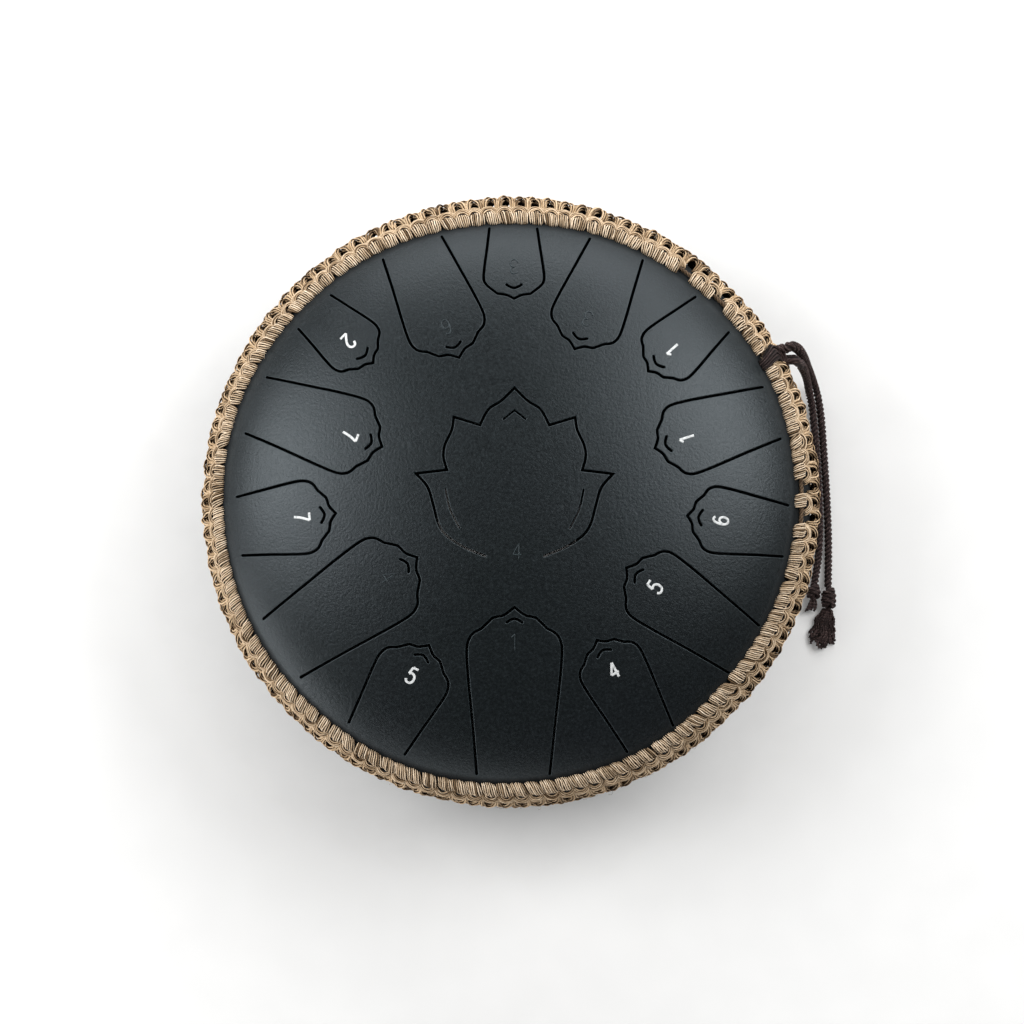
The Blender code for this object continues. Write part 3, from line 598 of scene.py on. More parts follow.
def make_knot(name, node, turns, wrap_radius, rope_radius, stub):
    """A stopper knot: a few tight turns of the cord round itself."""
    low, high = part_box(node)
    centre = np.array((low + high) / 2)
    half = np.array((high - low) / 2)
    centre[2] = low.z + wrap_radius * half[2] / half[0] + rope_radius
    along = half[1] - rope_radius
    t = np.linspace(0.0, 1.0, 260)
    angle = math.tau * turns * t
    belly = 0.82 + 0.18 * np.sin(math.pi * t)
    helix = np.stack([
        wrap_radius * belly * np.cos(angle),
        along * (1 - 2 * t) + 0.5 * MM * np.sin(angle + 0.7),
        wrap_radius * belly * np.sin(angle) * half[2] / half[0],
    ], axis=1)
    line = evenly(centre + helix, ROPE_STEP)
    ropes = [rope_rings(line, rope_radius, 3, KNOT_LAY, 3, 30)]
    core = np.stack([np.full(30, centre[0]),
                     centre[1] + np.linspace(half[1] + 1.5 * MM, -half[1], 30),
                     np.full(30, centre[2])], axis=1)
    ropes.append(rope_rings(evenly(core, ROPE_STEP), rope_radius * 0.9, 3, KNOT_LAY, 3, 24))
    if stub:
        ropes += stub_strands(centre - (0.0, half[1] * 0.9, 0.0))
    mesh = rope_mesh(name, ropes)
    return add_piece(name, mesh, [DARK_CORD], "dark_cord", node)


def stub_strands(start):
    """Short cut ends of the yarns below a knot."""
    draws = np.random.default_rng(17)
    ropes = []
    for k in range(STUB_YARNS):
        lean = (k - (STUB_YARNS - 1) / 2) * 0.85 * MM
        t = np.linspace(0.0, 1.0, 8)[:, None]
        reach = draws.uniform(6.0, 8.0) * MM
        sway = draws.uniform(-0.4, 0.4) * MM
        path = start + np.concatenate([
            (lean * 0.6 + lean * t - 2.0 * MM * t ** 2 + sway * np.sin(5 * t)),
            -reach * t,
            (0.7 * MM * math.cos(k * 2.1) * (1 - t) - 1.2 * MM * t)], axis=1)
        ropes.append(rope_rings(evenly(path, ROPE_STEP), 0.85 * MM, 2, 4 * MM, 1, 10))
    return ropes


TASSEL_YARNS = 46
TASSEL_RADIUS = 0.88 * MM    # of one yarn
TASSEL_HEAP = 4.4            # mm that the yarns pile up over the floor, at the knot
TASSEL_ENDS = ((0.2006, -0.0590), (0.1956, -0.0836))


def make_tassel():
    """Crinkled yarns that fan out from the long tail's knot."""
    low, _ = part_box("long_tail_tassel")
    start = np.array((*TASSEL_ENDS[0], low.z + 2.6 * MM))
    end = np.array((*TASSEL_ENDS[1], low.z + 2.2 * MM))
    length = np.linalg.norm(end - start)
    forward = (end - start) / length
    across = np.array((-forward[1], forward[0], 0.0))
    draws = np.random.default_rng(5)
    t = np.linspace(0.0, 1.0, 26)
    ropes = []
    for k in range(TASSEL_YARNS):
        spread = (k / (TASSEL_YARNS - 1) * 2 - 1) + draws.uniform(-0.12, 0.12)
        layer = draws.uniform(0.0, 1.0)
        reach = length * draws.uniform(0.80, 1.03) * (1 - 0.16 * spread ** 2)
        fan = spread * (2.3 + 5.6 * t ** 0.65) * MM
        waves = draws.uniform(1.8, 3.0)
        phase = draws.uniform(0.0, math.tau)
        crinkle = 0.75 * MM * np.minimum(1.0, 3 * t)
        sway = crinkle * np.sin(waves * math.tau * t + phase)
        height = (layer * TASSEL_HEAP * (1 - 0.45 * t) * (1 - 0.35 * spread ** 2)
                  + 0.4 * np.cos(waves * math.tau * t + phase * 1.7)) * MM
        path = (start + reach * t[:, None] * forward + (fan + sway)[:, None] * across)
        path[:, 2] = low.z + 0.9 * MM + np.maximum(height, 0.0)
        ropes.append(rope_rings(evenly(path, ROPE_STEP * 1.3), TASSEL_RADIUS, 2, 3.4 * MM, 1, 10))
    mesh = rope_mesh("tassel", ropes)
    return add_piece("tassel", mesh, [DARK_CORD], "dark_cord", "long_tail_tassel")


def make_tie_cord():
    long_tail, long_line = make_tail("long_tail", "tie_cord_long_tail", LONG_TAIL_ROUTE, 0.0)
    short_tail, short_line = make_tail("short_tail", "tie_cord_short_tail", SHORT_TAIL_ROUTE,
                                       30 * MM)
    long_knot = make_knot("long_knot", "long_tail_knot", 3.2, 3.0 * MM, 2.05 * MM, False)
    short_knot = make_knot("short_knot", "short_tail_knot", 2.1, 2.9 * MM, 2.0 * MM, True)
    tassel = make_tassel()
    return short_line, long_line


TAIL_LINES = make_tie_cord()

# ---- the shells' surfaces --------------------------------------------------


def shell_point(height, lift):
    """(radius, z) of points lift outside the shell, height above the seam."""
    height = np.asarray(height, float)
    up = height >= 0
    side = SHELL_RADIUS - BASE_RADIUS
    drop = np.sqrt(np.maximum(1 - (height / np.where(up, DOME_RISE, BOWL_DEPTH)) ** 2, 0.0))
    radius = np.where(up, SHELL_RADIUS * drop, BASE_RADIUS + side * drop)
    out = np.where(up, radius / SHELL_RADIUS ** 2, (radius - BASE_RADIUS) / side ** 2)
    rise = np.where(up, height / DOME_RISE ** 2, height / BOWL_DEPTH ** 2)
    size = np.hypot(out, rise)
    return radius + lift * out / size, SEAM_Z + height + lift * rise / size


def dome(radius, inside=0.0):
    """Height of the smooth dome at a radius, on its outer face or inside it."""
    drop = math.sqrt(max(0.0, 1 - (radius / (SHELL_RADIUS - inside)) ** 2))
    return SEAM_Z + (DOME_RISE - inside) * drop


def circle(radius, count, shift=0.0):
    """count points (x, y) round the axis."""
    angle = (np.arange(count) + shift) * math.tau / count
    return np.stack([radius * np.cos(angle), radius * np.sin(angle)], axis=1)


def dome_height(x, y):
    """Height of the top shell's outer face, with the slight waves of pressed steel."""
    drop = math.sqrt(max(0.0, 1 - (x * x + y * y) / SHELL_RADIUS ** 2))
    wave = 0.16 * MM * noise.noise(Vector((x * 22, y * 22, 3.7)))
    return SEAM_Z + DOME_RISE * drop + wave * drop


def dome_normal(x, y):
    step = 0.4 * MM
    dx = (dome_height(x + step, y) - dome_height(x - step, y)) / (2 * step)
    dy = (dome_height(x, y + step) - dome_height(x, y - step)) / (2 * step)
    return Vector((-dx, -dy, 1.0)).normalized()


# ---- slots of the top shell ------------------------------------------------

SLOT_STEP = 1.5 * MM
SHARPEST_MITRE = 0.42        # cosine of half the turn, where mitres stop growing


def plan_curve(points, step=SLOT_STEP):
    """A smooth plan curve through the points, sampled at equal steps."""
    flat = np.array([[(x, y, 0.0) for x, y in points]])
    line = smoothed(flat, 12)[0] if len(points) > 2 else flat[0]
    return [tuple(p[:2]) for p in evenly(line, step)]


def joined(stretches):
    """One line from stretches that share their end points, and its corners."""
    line = []
    corners = []
    for stretch in stretches:
        if line:
            corners.append(len(line) - 1)
            stretch = stretch[1:]
        line += stretch
    return line, corners


def tongue_line(tip, root_half, shoulder_half, head):
    """The slot round a tongue that points along +U, and its corners."""
    reach = math.sqrt(SLOT_END_RADIUS ** 2 - root_half ** 2)
    half = []
    for number, stretch in enumerate(head):
        points = [(tip + back * shoulder_half, side * shoulder_half) for side, back in stretch]
        if number == len(head) - 1:     # goes on from the shoulder to the root, bowed a little
            side = points[-1]
            near = (side[0] + 0.22 * (reach - side[0]), side[1] + 0.13 * (root_half - side[1]))
            far = (side[0] + 0.60 * (reach - side[0]), side[1] + 0.58 * (root_half - side[1]))
            points += [near, far, (reach, root_half)]
        half.append(plan_curve(points))
    mirrored = [[(u, -v) for u, v in stretch[::-1]] for stretch in half[::-1]]
    return joined(mirrored + half)


def arc_slit(tip):
    count = 9
    places = [i / (count - 1) * 2 - 1 for i in range(count)]
    return [(tip + ARC_BACK + ARC_DEPTH * (abs(t) ** 1.6), ARC_HALF_CHORD * t) for t in places]


def placed(line, azimuth):
    c = math.cos(math.radians(azimuth))
    s = math.sin(math.radians(azimuth))
    return [(u * c - v * s, u * s + v * c) for u, v in line]


def slot_lines():
    """Every slot of the top shell as (line, corner indices, width)."""
    lines = []
    for name, azimuth, tip, root_half, shoulder_half, _, _ in TONGUES:
        head = PLAIN_HEAD if name == "top" else SCALLOPED_HEAD
        line, corners = tongue_line(tip, root_half, shoulder_half, head)
        lines.append((placed(line, azimuth), corners, SLOT_WIDTH))
        lines.append((placed(arc_slit(tip), azimuth), [], SLOT_WIDTH))
    half = [plan_curve(stretch) for stretch in LOTUS_HALF]
    mirrored = [[(-x, y) for x, y in stretch[::-1]] for stretch in half[::-1]]
    lotus, corners = joined(mirrored + half)
    lines.append((lotus, corners, SLOT_WIDTH))
    lines.append((list(LOTUS_CHEVRON), [1], VEIN_WIDTH))
    for side in (-1, 1):
        vein = plan_curve([(side * x, y) for x, y in LOTUS_VEIN])
        lines.append((vein, [], VEIN_WIDTH))
    return lines


def thinned_corners(line, corners, reach):
    """The line without the points that a mitre of that reach would cross."""
    keep = [True] * len(line)
    for corner in corners:
        here = Vector(line[corner])
        into = (here - Vector(line[corner - 1])).normalized()
        out = (Vector(line[corner + 1]) - here).normalized()
        turn = math.acos(max(-1.0, min(1.0, into.dot(out))))
        clear = reach * math.tan(min(turn, 2.5) / 2) * 1.15
        for index, point in enumerate(line):
            if index not in (corner, 0, len(line) - 1) and (Vector(point) - here).length < clear:
                keep[index] = False
    return [p for p, kept in zip(line, keep) if kept]


def ribbon_outline(line, half):
    """A closed outline round the line at distance half, with round ends."""
    route = [Vector(p) for p in line]
    left, right = [], []
    for index, point in enumerate(route):
        into = (point - route[index - 1]).normalized() if index else None
        out = (route[index + 1] - point).normalized() if index < len(route) - 1 else None
        into, out = into or out, out or into
        mitre = (into + out).normalized()
        across = Vector((-mitre.y, mitre.x)) * (half / max(SHARPEST_MITRE, mitre.dot(into)))
        left.append(point + across)
        right.append(point - across)

    def round_end(tip, side):
        return [tip + Matrix.Rotation(math.pi * k / 5, 2) @ (side - tip) for k in range(1, 5)]

    return right + round_end(route[-1], right[-1]) + left[::-1] + round_end(route[0], left[0])


def plan_rings(limit, step, tree, clear):
    """Points on rings about the axis, away from the slots' outlines."""
    points = [(0.0, 0.0)]
    radius = step
    while radius < limit - 0.6 * step:
        count = max(6, round(math.tau * radius / step))
        points += circle(radius, count, 0.5 * (round(radius / step) % 2)).tolist()
        radius += step
    return [Vector(p) for p in points if tree.find((*p, 0.0))[2] > clear]


DOME_EDGE = 0.1680           # the plan mesh ends here, and turned rings go on to the rim
RIM_SEGMENTS = 256
RIM_CHAMFER = 1.2 * MM
FACE_STEP = 3.2 * MM         # of the mesh on the playing face, and under it
UNDERSIDE_STEP = 8 * MM
EDGE_TILT = 1.6              # how far the shading leans into a slot at its edge


def triangulated(slots, band, step):
    """Triangles of the plan disc without the slots: (points, kinds, triangles).

    A point's kind is ("face",), ("rim", k), ("edge", slot, k) or ("band", slot, k). With
    band, a second outline keeps a row of faces free along each slot.
    """
    points, kinds, edges, faces, marks = [], [], [], [], []

    def add_loop(loop, *kind):
        start = len(points)
        points.extend(Vector(p) for p in loop)
        kinds.extend((*kind, k) for k in range(len(loop)))
        return list(range(start, len(points)))

    def add_border(loop, *kind):
        made = add_loop(loop, *kind)
        edges.extend((made[k - 1], made[k]) for k in range(len(made)))

    add_border(circle(DOME_EDGE, RIM_SEGMENTS).tolist(), "rim")
    for number, (inner, outer) in enumerate(slots):
        faces.append(add_loop(inner, "edge", number))
        marks += inner
        if band:
            add_border(outer, "band", number)
            marks += outer
    tree = kdtree.KDTree(len(marks))
    for k, p in enumerate(marks):
        tree.insert((p[0], p[1], 0.0), k)
    tree.balance()
    fill = plan_rings(DOME_EDGE, step, tree, 0.5 * step)
    points += fill
    kinds += [("face",)] * len(fill)
    points, _, triangles, sources, _, inside = geometry.delaunay_2d_cdt(
        points, edges, faces, 0, 1e-7, True)
    found = [[kinds[k] for k in source if k < len(kinds)] or [("face",)] for source in sources]
    kinds = [min(near, key=lambda kind: kind[0] == "face") for near in found]
    return points, kinds, [t for t, cover in zip(triangles, inside) if not cover]


def rim_profile():
    """(radius, z) from the dome's edge over the rim and back up inside."""
    reach = SHELL_RADIUS - DOME_EDGE
    outer = [DOME_EDGE + reach * math.sin(math.pi / 2 * k / 21) for k in range(1, 21)]
    inner = [DOME_EDGE + (reach - STEEL) * math.sin(math.pi / 2 * k / 10) for k in range(9, 0, -1)]
    rim = SEAM_Z + SEAM_ROOT_GAP / 2
    return ([(radius, dome(radius)) for radius in outer]
            + [(SHELL_RADIUS, rim + RIM_CHAMFER), (SHELL_RADIUS - RIM_CHAMFER, rim),
               (SHELL_RADIUS - STEEL, rim)]
            + [(radius, dome(radius, STEEL)) for radius in inner])


def make_top_shell():
    """The painted dome with its real slots, rounded along their edges, with a painted highlight on
    those edges and painted shade in the slots.
    """
    slots = []
    for line, corners, width in slot_lines():
        line = thinned_corners(line, corners, width / 2 + EDGE_ROUND)
        slots.append([ribbon_outline(line, width / 2 + more) for more in (0.0, EDGE_ROUND)])
    vertices, normals, faces, looks = [], [], [], []
    top_index, under_index = {}, {}     # vertex numbers by a point's kind

    points, kinds, triangles = triangulated(slots, True, FACE_STEP)
    for number, (point, kind) in enumerate(zip(points, kinds)):
        normal = dome_normal(point.x, point.y)
        z = dome_height(point.x, point.y)
        if kind[0] == "edge":
            inner, outer = slots[kind[1]]
            into = (inner[kind[2]] - outer[kind[2]]).normalized().to_3d()
            normal = (normal + EDGE_TILT * into).normalized()
            z -= EDGE_DROP
        top_index[kind] = number
        vertices.append((point.x, point.y, z))
        normals.append(normal)
    for t in triangles:
        corners = {kinds[k][0] for k in t}
        faces.append(tuple(t))
        # Faces of the rounded edge take the lighter coat, a painted highlight.
        looks.append(1 if "edge" in corners and corners <= {"edge", "band"} else 0)

    points, kinds, triangles = triangulated(slots, False, UNDERSIDE_STEP)
    offset = len(vertices)
    for number, (point, kind) in enumerate(zip(points, kinds)):
        under_index[kind] = offset + number
        vertices.append((point.x, point.y, dome(point.length, STEEL)))
        normals.append(-dome_normal(point.x, point.y))
    faces += [tuple(offset + k for k in reversed(t)) for t in triangles]
    looks += [0] * len(triangles)

    for number, (inner, _) in enumerate(slots):
        for k in range(len(inner)):
            here, there = (("edge", number, m % len(inner)) for m in (k, k + 1))
            corners = (top_index.get(here), under_index.get(here), under_index.get(there),
                       top_index.get(there))
            if None not in corners:
                # The slot's walls take the darker coat, painted shade.
                faces.append(corners)
                looks.append(2)

    rows = [[top_index["rim", k] for k in range(RIM_SEGMENTS)]]
    profile = [(DOME_EDGE, dome_height(DOME_EDGE, 0.0)), *rim_profile()]
    for before, (radius, z), after in zip(profile, profile[1:], profile[2:] + profile[-1:]):
        out, up = before[1] - after[1], after[0] - before[0]
        rows.append(range(len(vertices), len(vertices) + RIM_SEGMENTS))
        vertices += [(x, y, z) for x, y in circle(radius, RIM_SEGMENTS).tolist()]
        normals += [Vector((x, y, up)).normalized() for x, y in circle(out, RIM_SEGMENTS).tolist()]
    rows.append([under_index["rim", k] for k in range(RIM_SEGMENTS)])
    for here, there in zip(rows, rows[1:]):
        faces += [(here[k - 1], there[k - 1], there[k], here[k]) for k in range(RIM_SEGMENTS)]
        looks += [0] * RIM_SEGMENTS

    mesh = bpy.data.meshes.new("drum_top")
    mesh.from_pydata(vertices, [], faces)
    mesh.polygons.foreach_set("material_index", np.array(looks, np.int32))
    mesh.shade_smooth()
    mesh.normals_split_custom_set_from_vertices([tuple(n) for n in normals])
    return add_piece("drum_top", mesh, [PAINT, HIGHLIGHT_PAINT, SLOT_SHADE_PAINT],
                     "powder_coated_steel", "top_shell")


make_top_shell()

# ---- rope belt -------------------------------------------------------------

BELT_CELLS = 122
CELLS = np.arange(BELT_CELLS)
CELL = math.tau / BELT_CELLS
BELT_RADIUS = 0.176          # turns a shift along the belt into an angle
CELL_MM = CELL * BELT_RADIUS / MM
CORE_LIFT = 1.6 * MM
CORE_RADIUS = 1.3 * MM
CORE_LAY = 7 * MM
WANDER = 0.41                # radians a cell, of the rows' slight waves
OUTER_EDGE = ((-0.3, 2.5), (0.8, 0.3))     # how far the side net stands out, as INNER_EDGE
# Cells without a bundle over the seam: four worn ones and the one under the hitch.
BARE_CELLS = [round(math.radians(a) / CELL) for a in (53.1, 44.8, 2.9, -2.1, HITCH_AZIMUTH)]


def columns(table):
    """A control table's columns as rows of arrays."""
    return (np.array(column)[None] for column in zip(*table))


def edge_shift(azimuth, waves):
    return sum(c * np.cos(k * azimuth) + s * np.sin(k * azimuth)
               for k, (c, s) in enumerate(waves, start=1))


def belt_place(azimuth, height, lift):
    radius, z = shell_point(height, lift)
    return np.stack([radius * np.cos(azimuth), radius * np.sin(azimuth), z], axis=-1)


def row_height(azimuth, wander):
    """Height of the core cord above the seam, all round the belt."""
    return CORE_HEIGHT - edge_shift(azimuth, INNER_EDGE) * MM + 0.45 * MM * np.sin(wander)


def kept_cells(side):
    """Which cells have a bundle: not the worn ones above, nor the one under the hitch."""
    keep = np.ones(BELT_CELLS, bool)
    keep[BARE_CELLS] = side < 0
    return keep


def cell_waves(draws, amount):
    """A smooth random value for every cell."""
    rough = draws.normal(0.0, 1.0, BELT_CELLS)
    return amount * (0.25 * np.roll(rough, -1) + 0.5 * rough + 0.25 * np.roll(rough, 1))


def laid(along, height, beside):
    """A strand beside a path on the shell, (along, height) in mm, one row per cell."""
    tangent = unit(np.gradient(np.stack([along, height], axis=-1), axis=1))
    return along - beside * tangent[..., 1], height + beside * tangent[..., 0]


def bundle_mesh(name, strands, draws, radius, per_span=3, flat=0.95):
    """Strands from arrays (azimuth, height, lift), each (count, controls), a little uneven."""
    azimuth, height, lift = (np.concatenate(values) for values in zip(*strands))
    paths = smoothed(belt_place(azimuth, height, lift), per_span)
    outward = smoothed(belt_place(azimuth, height, lift + MM) - belt_place(azimuth, height, lift),
                       per_span)
    side = np.cross(outward, unit(np.gradient(paths, axis=1)))
    count = paths.shape[1]
    thick = radius * draws.uniform(0.82, 1.14, (len(paths), 1))
    along = np.linspace(-1.0, 1.0, count)[None]
    thick = thick * (1 - 0.35 * along ** 8) * (1 + 0.05 * draws.normal(0, 1, (len(paths), count)))
    tone = np.clip(draws.normal(0.86, 0.24, len(paths)), 0.32, 1.25)
    return tube_mesh(name, paths, side, thick, tone, flat=flat)


WRAP_STRANDS = 7
WRAP_RADIUS = 0.49 * MM
WRAP_PITCH = 1.20            # mm between two strands of a bundle
WRAP_CONTROLS = ((3.3, 0.0, 1.00), (2.7, 2.0, 1.05), (1.0, 3.4, 1.08), (-0.8, 3.7, 1.04),
                 (-2.2, 2.7, 0.95), (-3.1, 0.9, 0.82))   # height and lift in mm, spread


def make_wraps(name, node, side, seed):
    """The bundles over the core cord, with their strands fanned and slanting."""
    draws = np.random.default_rng(seed)
    turn = CELLS * CELL + cell_waves(draws, 0.09 * CELL)
    lean = 1.5 - 0.8 * np.sin(turn) + draws.normal(0.0, 0.7, BELT_CELLS)
    swell = draws.uniform(0.94, 1.06, BELT_CELLS)
    core = row_height(turn, CELLS * WANDER + side)[:, None]
    reach, rise, spread = columns(WRAP_CONTROLS)
    keep = kept_cells(side)
    steps = np.linspace(-1.0, 1.0, len(WRAP_CONTROLS))[None]
    strands = []
    for strand in range(WRAP_STRANDS):
        place = strand - (WRAP_STRANDS - 1) / 2
        jitter = draws.normal(0.0, 0.13, (BELT_CELLS, len(WRAP_CONTROLS)))
        lifted = draws.normal(0.0, 0.30, (BELT_CELLS, 1)) + 1.7 * math.cos(place / 2.4) - 1.0
        along = place * WRAP_PITCH * spread * swell[:, None] + lean[:, None] * steps + jitter
        lift = rise * swell[:, None] + lifted * np.sin((steps + 1) * math.pi / 2) + jitter
        azimuth = turn[:, None] + along * MM / BELT_RADIUS
        rounded = reach * (1 - 0.018 * place ** 2)
        height = core + (rounded + 0.3 * jitter) * MM
        strands.append((azimuth[keep], side * height[keep], lift[keep] * MM))
    mesh = bundle_mesh(name, strands, draws, WRAP_RADIUS)
    return add_piece(name, mesh, [JUTE], "jute_rope", node)


CAP_RADIUS = 0.58 * MM
CAP_BESIDE = (-1.75, -0.60, 0.50, 1.55)
CAP_ABOVE = (-0.10, 0.45, 0.50, 0.15)
CAP_CONTROLS = ((-0.58, -2.6, 0.6), (-0.50, -3.5, 2.0), (-0.29, -4.9, 3.0), (0.0, -5.5, 3.3),
                (0.29, -4.9, 3.0), (0.50, -3.5, 2.0), (0.58, -2.6, 0.6))   # cells, mm, mm


def make_caps(name, node, side, seed):
    """Short arches of nested strands that hold the foot of every bundle."""
    draws = np.random.default_rng(seed)
    turn = CELLS * CELL + cell_waves(draws, 0.14 * CELL)
    skew = draws.normal(0.0, 0.7, BELT_CELLS)[:, None]
    core = row_height(turn, CELLS * WANDER + side)[:, None]
    place, drop, rise = columns(CAP_CONTROLS)
    drop = drop + skew * place
    place = np.broadcast_to(place * CELL_MM, drop.shape)
    keep = kept_cells(side)
    strands = []
    for beside, above in zip(CAP_BESIDE, CAP_ABOVE):
        jitter = draws.normal(0.0, 0.14, (BELT_CELLS, len(CAP_CONTROLS)))
        along, height = laid(place, drop, beside)
        azimuth = turn[:, None] + (along + jitter) * MM / BELT_RADIUS
        lift = np.maximum(rise + above + jitter, 0.3)
        height = core + (height + 0.5 * jitter) * MM
        strands.append((azimuth[keep], side * height[keep], lift[keep] * MM))
    mesh = bundle_mesh(name, strands, draws, CAP_RADIUS)
    return add_piece(name, mesh, [JUTE_CAPS], "jute_rope", node)


LOOP_STRANDS = 7             # six round a middle one
LOOP_RADIUS = 0.60 * MM
LOOP_CONTROLS = ((-0.45, 1.0, 0.9), (-0.45, 0.72, 2.3), (-0.39, 0.42, 3.1), (-0.22, 0.13, 3.5),
                 (0.0, -0.06, 3.6), (0.22, 0.13, 3.5), (0.39, 0.42, 3.1), (0.45, 0.72, 2.3),
                 (0.45, 1.0, 0.9))    # cells, part of the way from the seam to the foot, mm
LOOP_FOOT = 6.2              # mm from the core cord down to the loops' feet


def make_loops(name, nodes, side, seed):
    """Arches of the side net, hooked into the ones that come from the other row."""
    draws = np.random.default_rng(seed)
    turn = (CELLS + (0.0 if side > 0 else 0.5)) * CELL
    place, part, rise = columns(LOOP_CONTROLS)
    height = part * (row_height(turn, CELLS * WANDER + side)[:, None] / MM - LOOP_FOOT)
    bow = np.sin(np.linspace(0.0, math.pi, len(LOOP_CONTROLS)))[None]
    skew = draws.normal(0.0, 0.15, BELT_CELLS)[:, None]
    full = draws.uniform(-0.8, 0.6, BELT_CELLS)[:, None] + edge_shift(turn, OUTER_EDGE)[:, None]
    slack = draws.normal(0.0, 0.7, BELT_CELLS)[:, None]
    hooked = 0.5 * np.sign(place) * np.exp(-(height / 3.0) ** 2)
    middle = (place + skew * bow) * CELL_MM
    level = height + slack * bow
    strands = []
    for strand in range(LOOP_STRANDS):
        turned = math.tau * strand / (LOOP_STRANDS - 1) + place * 1.5
        ring = 0.0 if strand == LOOP_STRANDS - 1 else 1.0
        jitter = draws.normal(0.0, 0.13, (BELT_CELLS, len(LOOP_CONTROLS)))
        along, up = laid(middle, level, ring * 1.5 * np.cos(turned) + jitter)
        lift = (rise + full * bow + hooked + ring * 1.9 * np.sin(turned) * (0.35 + 0.65 * bow)
                + jitter)
        strands.append((turn[:, None] + along * MM / BELT_RADIUS, side * up * MM,
                        np.maximum(lift, 0.45) * MM))
    mesh = bundle_mesh(name, strands, draws, LOOP_RADIUS, 2)
    return add_piece(name, mesh, [JUTE_LOOPS], "jute_rope", *nodes)


def make_core(name, node, side):
    """The twisted cord that the bundles are tied over."""
    azimuth = np.linspace(0.0, math.tau, 1400)
    height = side * row_height(azimuth, azimuth / CELL * WANDER + side)
    line = belt_place(azimuth, height, np.full(len(azimuth), CORE_LIFT))
    line[-1] = line[0]
    rope = rope_rings(line, CORE_RADIUS, 3, CORE_LAY, 2, 18, closed=True)
    mesh = rope_mesh(name, [rope], closed=True)
    return add_piece(name, mesh, [JUTE_CORE_SHADED], "jute_rope", node)


STRAY_FIBRES = 220
STRAY_RADIUS = 0.065 * MM


def make_stray_fibres():
    """Fine hairs that stand off the belt."""
    draws = np.random.default_rng(41)
    count = STRAY_FIBRES
    azimuth = draws.uniform(0.0, math.tau, count)
    height = draws.choice([-1.0, 1.0, 1.0], count) * draws.uniform(0.0, 20.0, count) * MM
    reach = draws.gamma(2.0, 0.4, count) * MM
    t = np.linspace(0.0, 1.0, 5)[None]
    swing = draws.normal(0.0, 2.0, (count, 1)) * MM
    curl = draws.normal(0.0, 1.6, (count, 1)) * MM
    turns = azimuth[:, None] + (swing * t + curl * t ** 2) / BELT_RADIUS
    heights = height[:, None] + draws.normal(0.0, 2.0, (count, 1)) * MM * t
    lifts = 3.0 * MM + np.minimum(reach, 2.2 * MM)[:, None] * np.sin(t * 2.2)
    mesh = bundle_mesh("stray_fibres", [(turns, heights, lifts)], draws, STRAY_RADIUS)
    return add_piece("stray_fibres", mesh, [JUTE], "jute_rope")


def make_belt():
    for side, word in ((1, "upper"), (-1, "lower")):
        make_core(f"core_cord_{word}", f"belt_{word}_core_cord", side)
        make_wraps(f"wraps_{word}", f"belt_{word}_hitch_row", side, 11 + side)
        make_caps(f"caps_{word}", f"belt_{word}_chain_row", side, 21 + side)
    make_loops("loops_upper", ["belt_side_net"], 1, 31)
    make_loops("loops_lower", [], -1, 33)
    make_stray_fibres()


make_belt()

# ---- hitch of the tie cord -------------------------------------------------

HITCH_YARNS = 5
HITCH_LAYER_TONES = (1.0, 0.08, 0.04)      # the lower layers lie in shadow
HITCH_FAN = 3.4              # mm, half the fan's width
HITCH_BEND = 2.1             # mm, of the fan's S-shaped lean
HITCH_POINTS = 48
HITCH_TURNS = 4
TURN_RADIUS = 0.62 * MM
# Part of the way from the short tail to the long one, mm along the belt, mm up.
TURN_CONTROLS = ((0.0, -2.2, -2.4), (0.0, -2.9, 0.0), (0.0, -1.0, 2.6), (0.5, 0.0, 2.3),
                 (1.0, 1.0, 2.6), (1.0, 2.9, 0.0), (1.0, 2.2, -2.4))
HITCH_CONTROLS = ((20.2, 0.2, 0.90), (19.4, 2.8, 0.96), (17.2, 4.8, 1.06), (13.8, 5.8, 1.2),
                  (9.8, 6.0, 1.35))    # height and lift in mm, spread


def hitch_yarn(controls, across):
    """(points, across) of a smooth yarn of HITCH_POINTS points."""
    line = smoothed(np.array([controls]), 12)[0]
    at = np.linspace(0, len(line) - 1, HITCH_POINTS)
    line = np.stack([np.interp(at, np.arange(len(line)), line[:, k]) for k in range(3)], axis=1)
    return line, np.broadcast_to(across, line.shape)


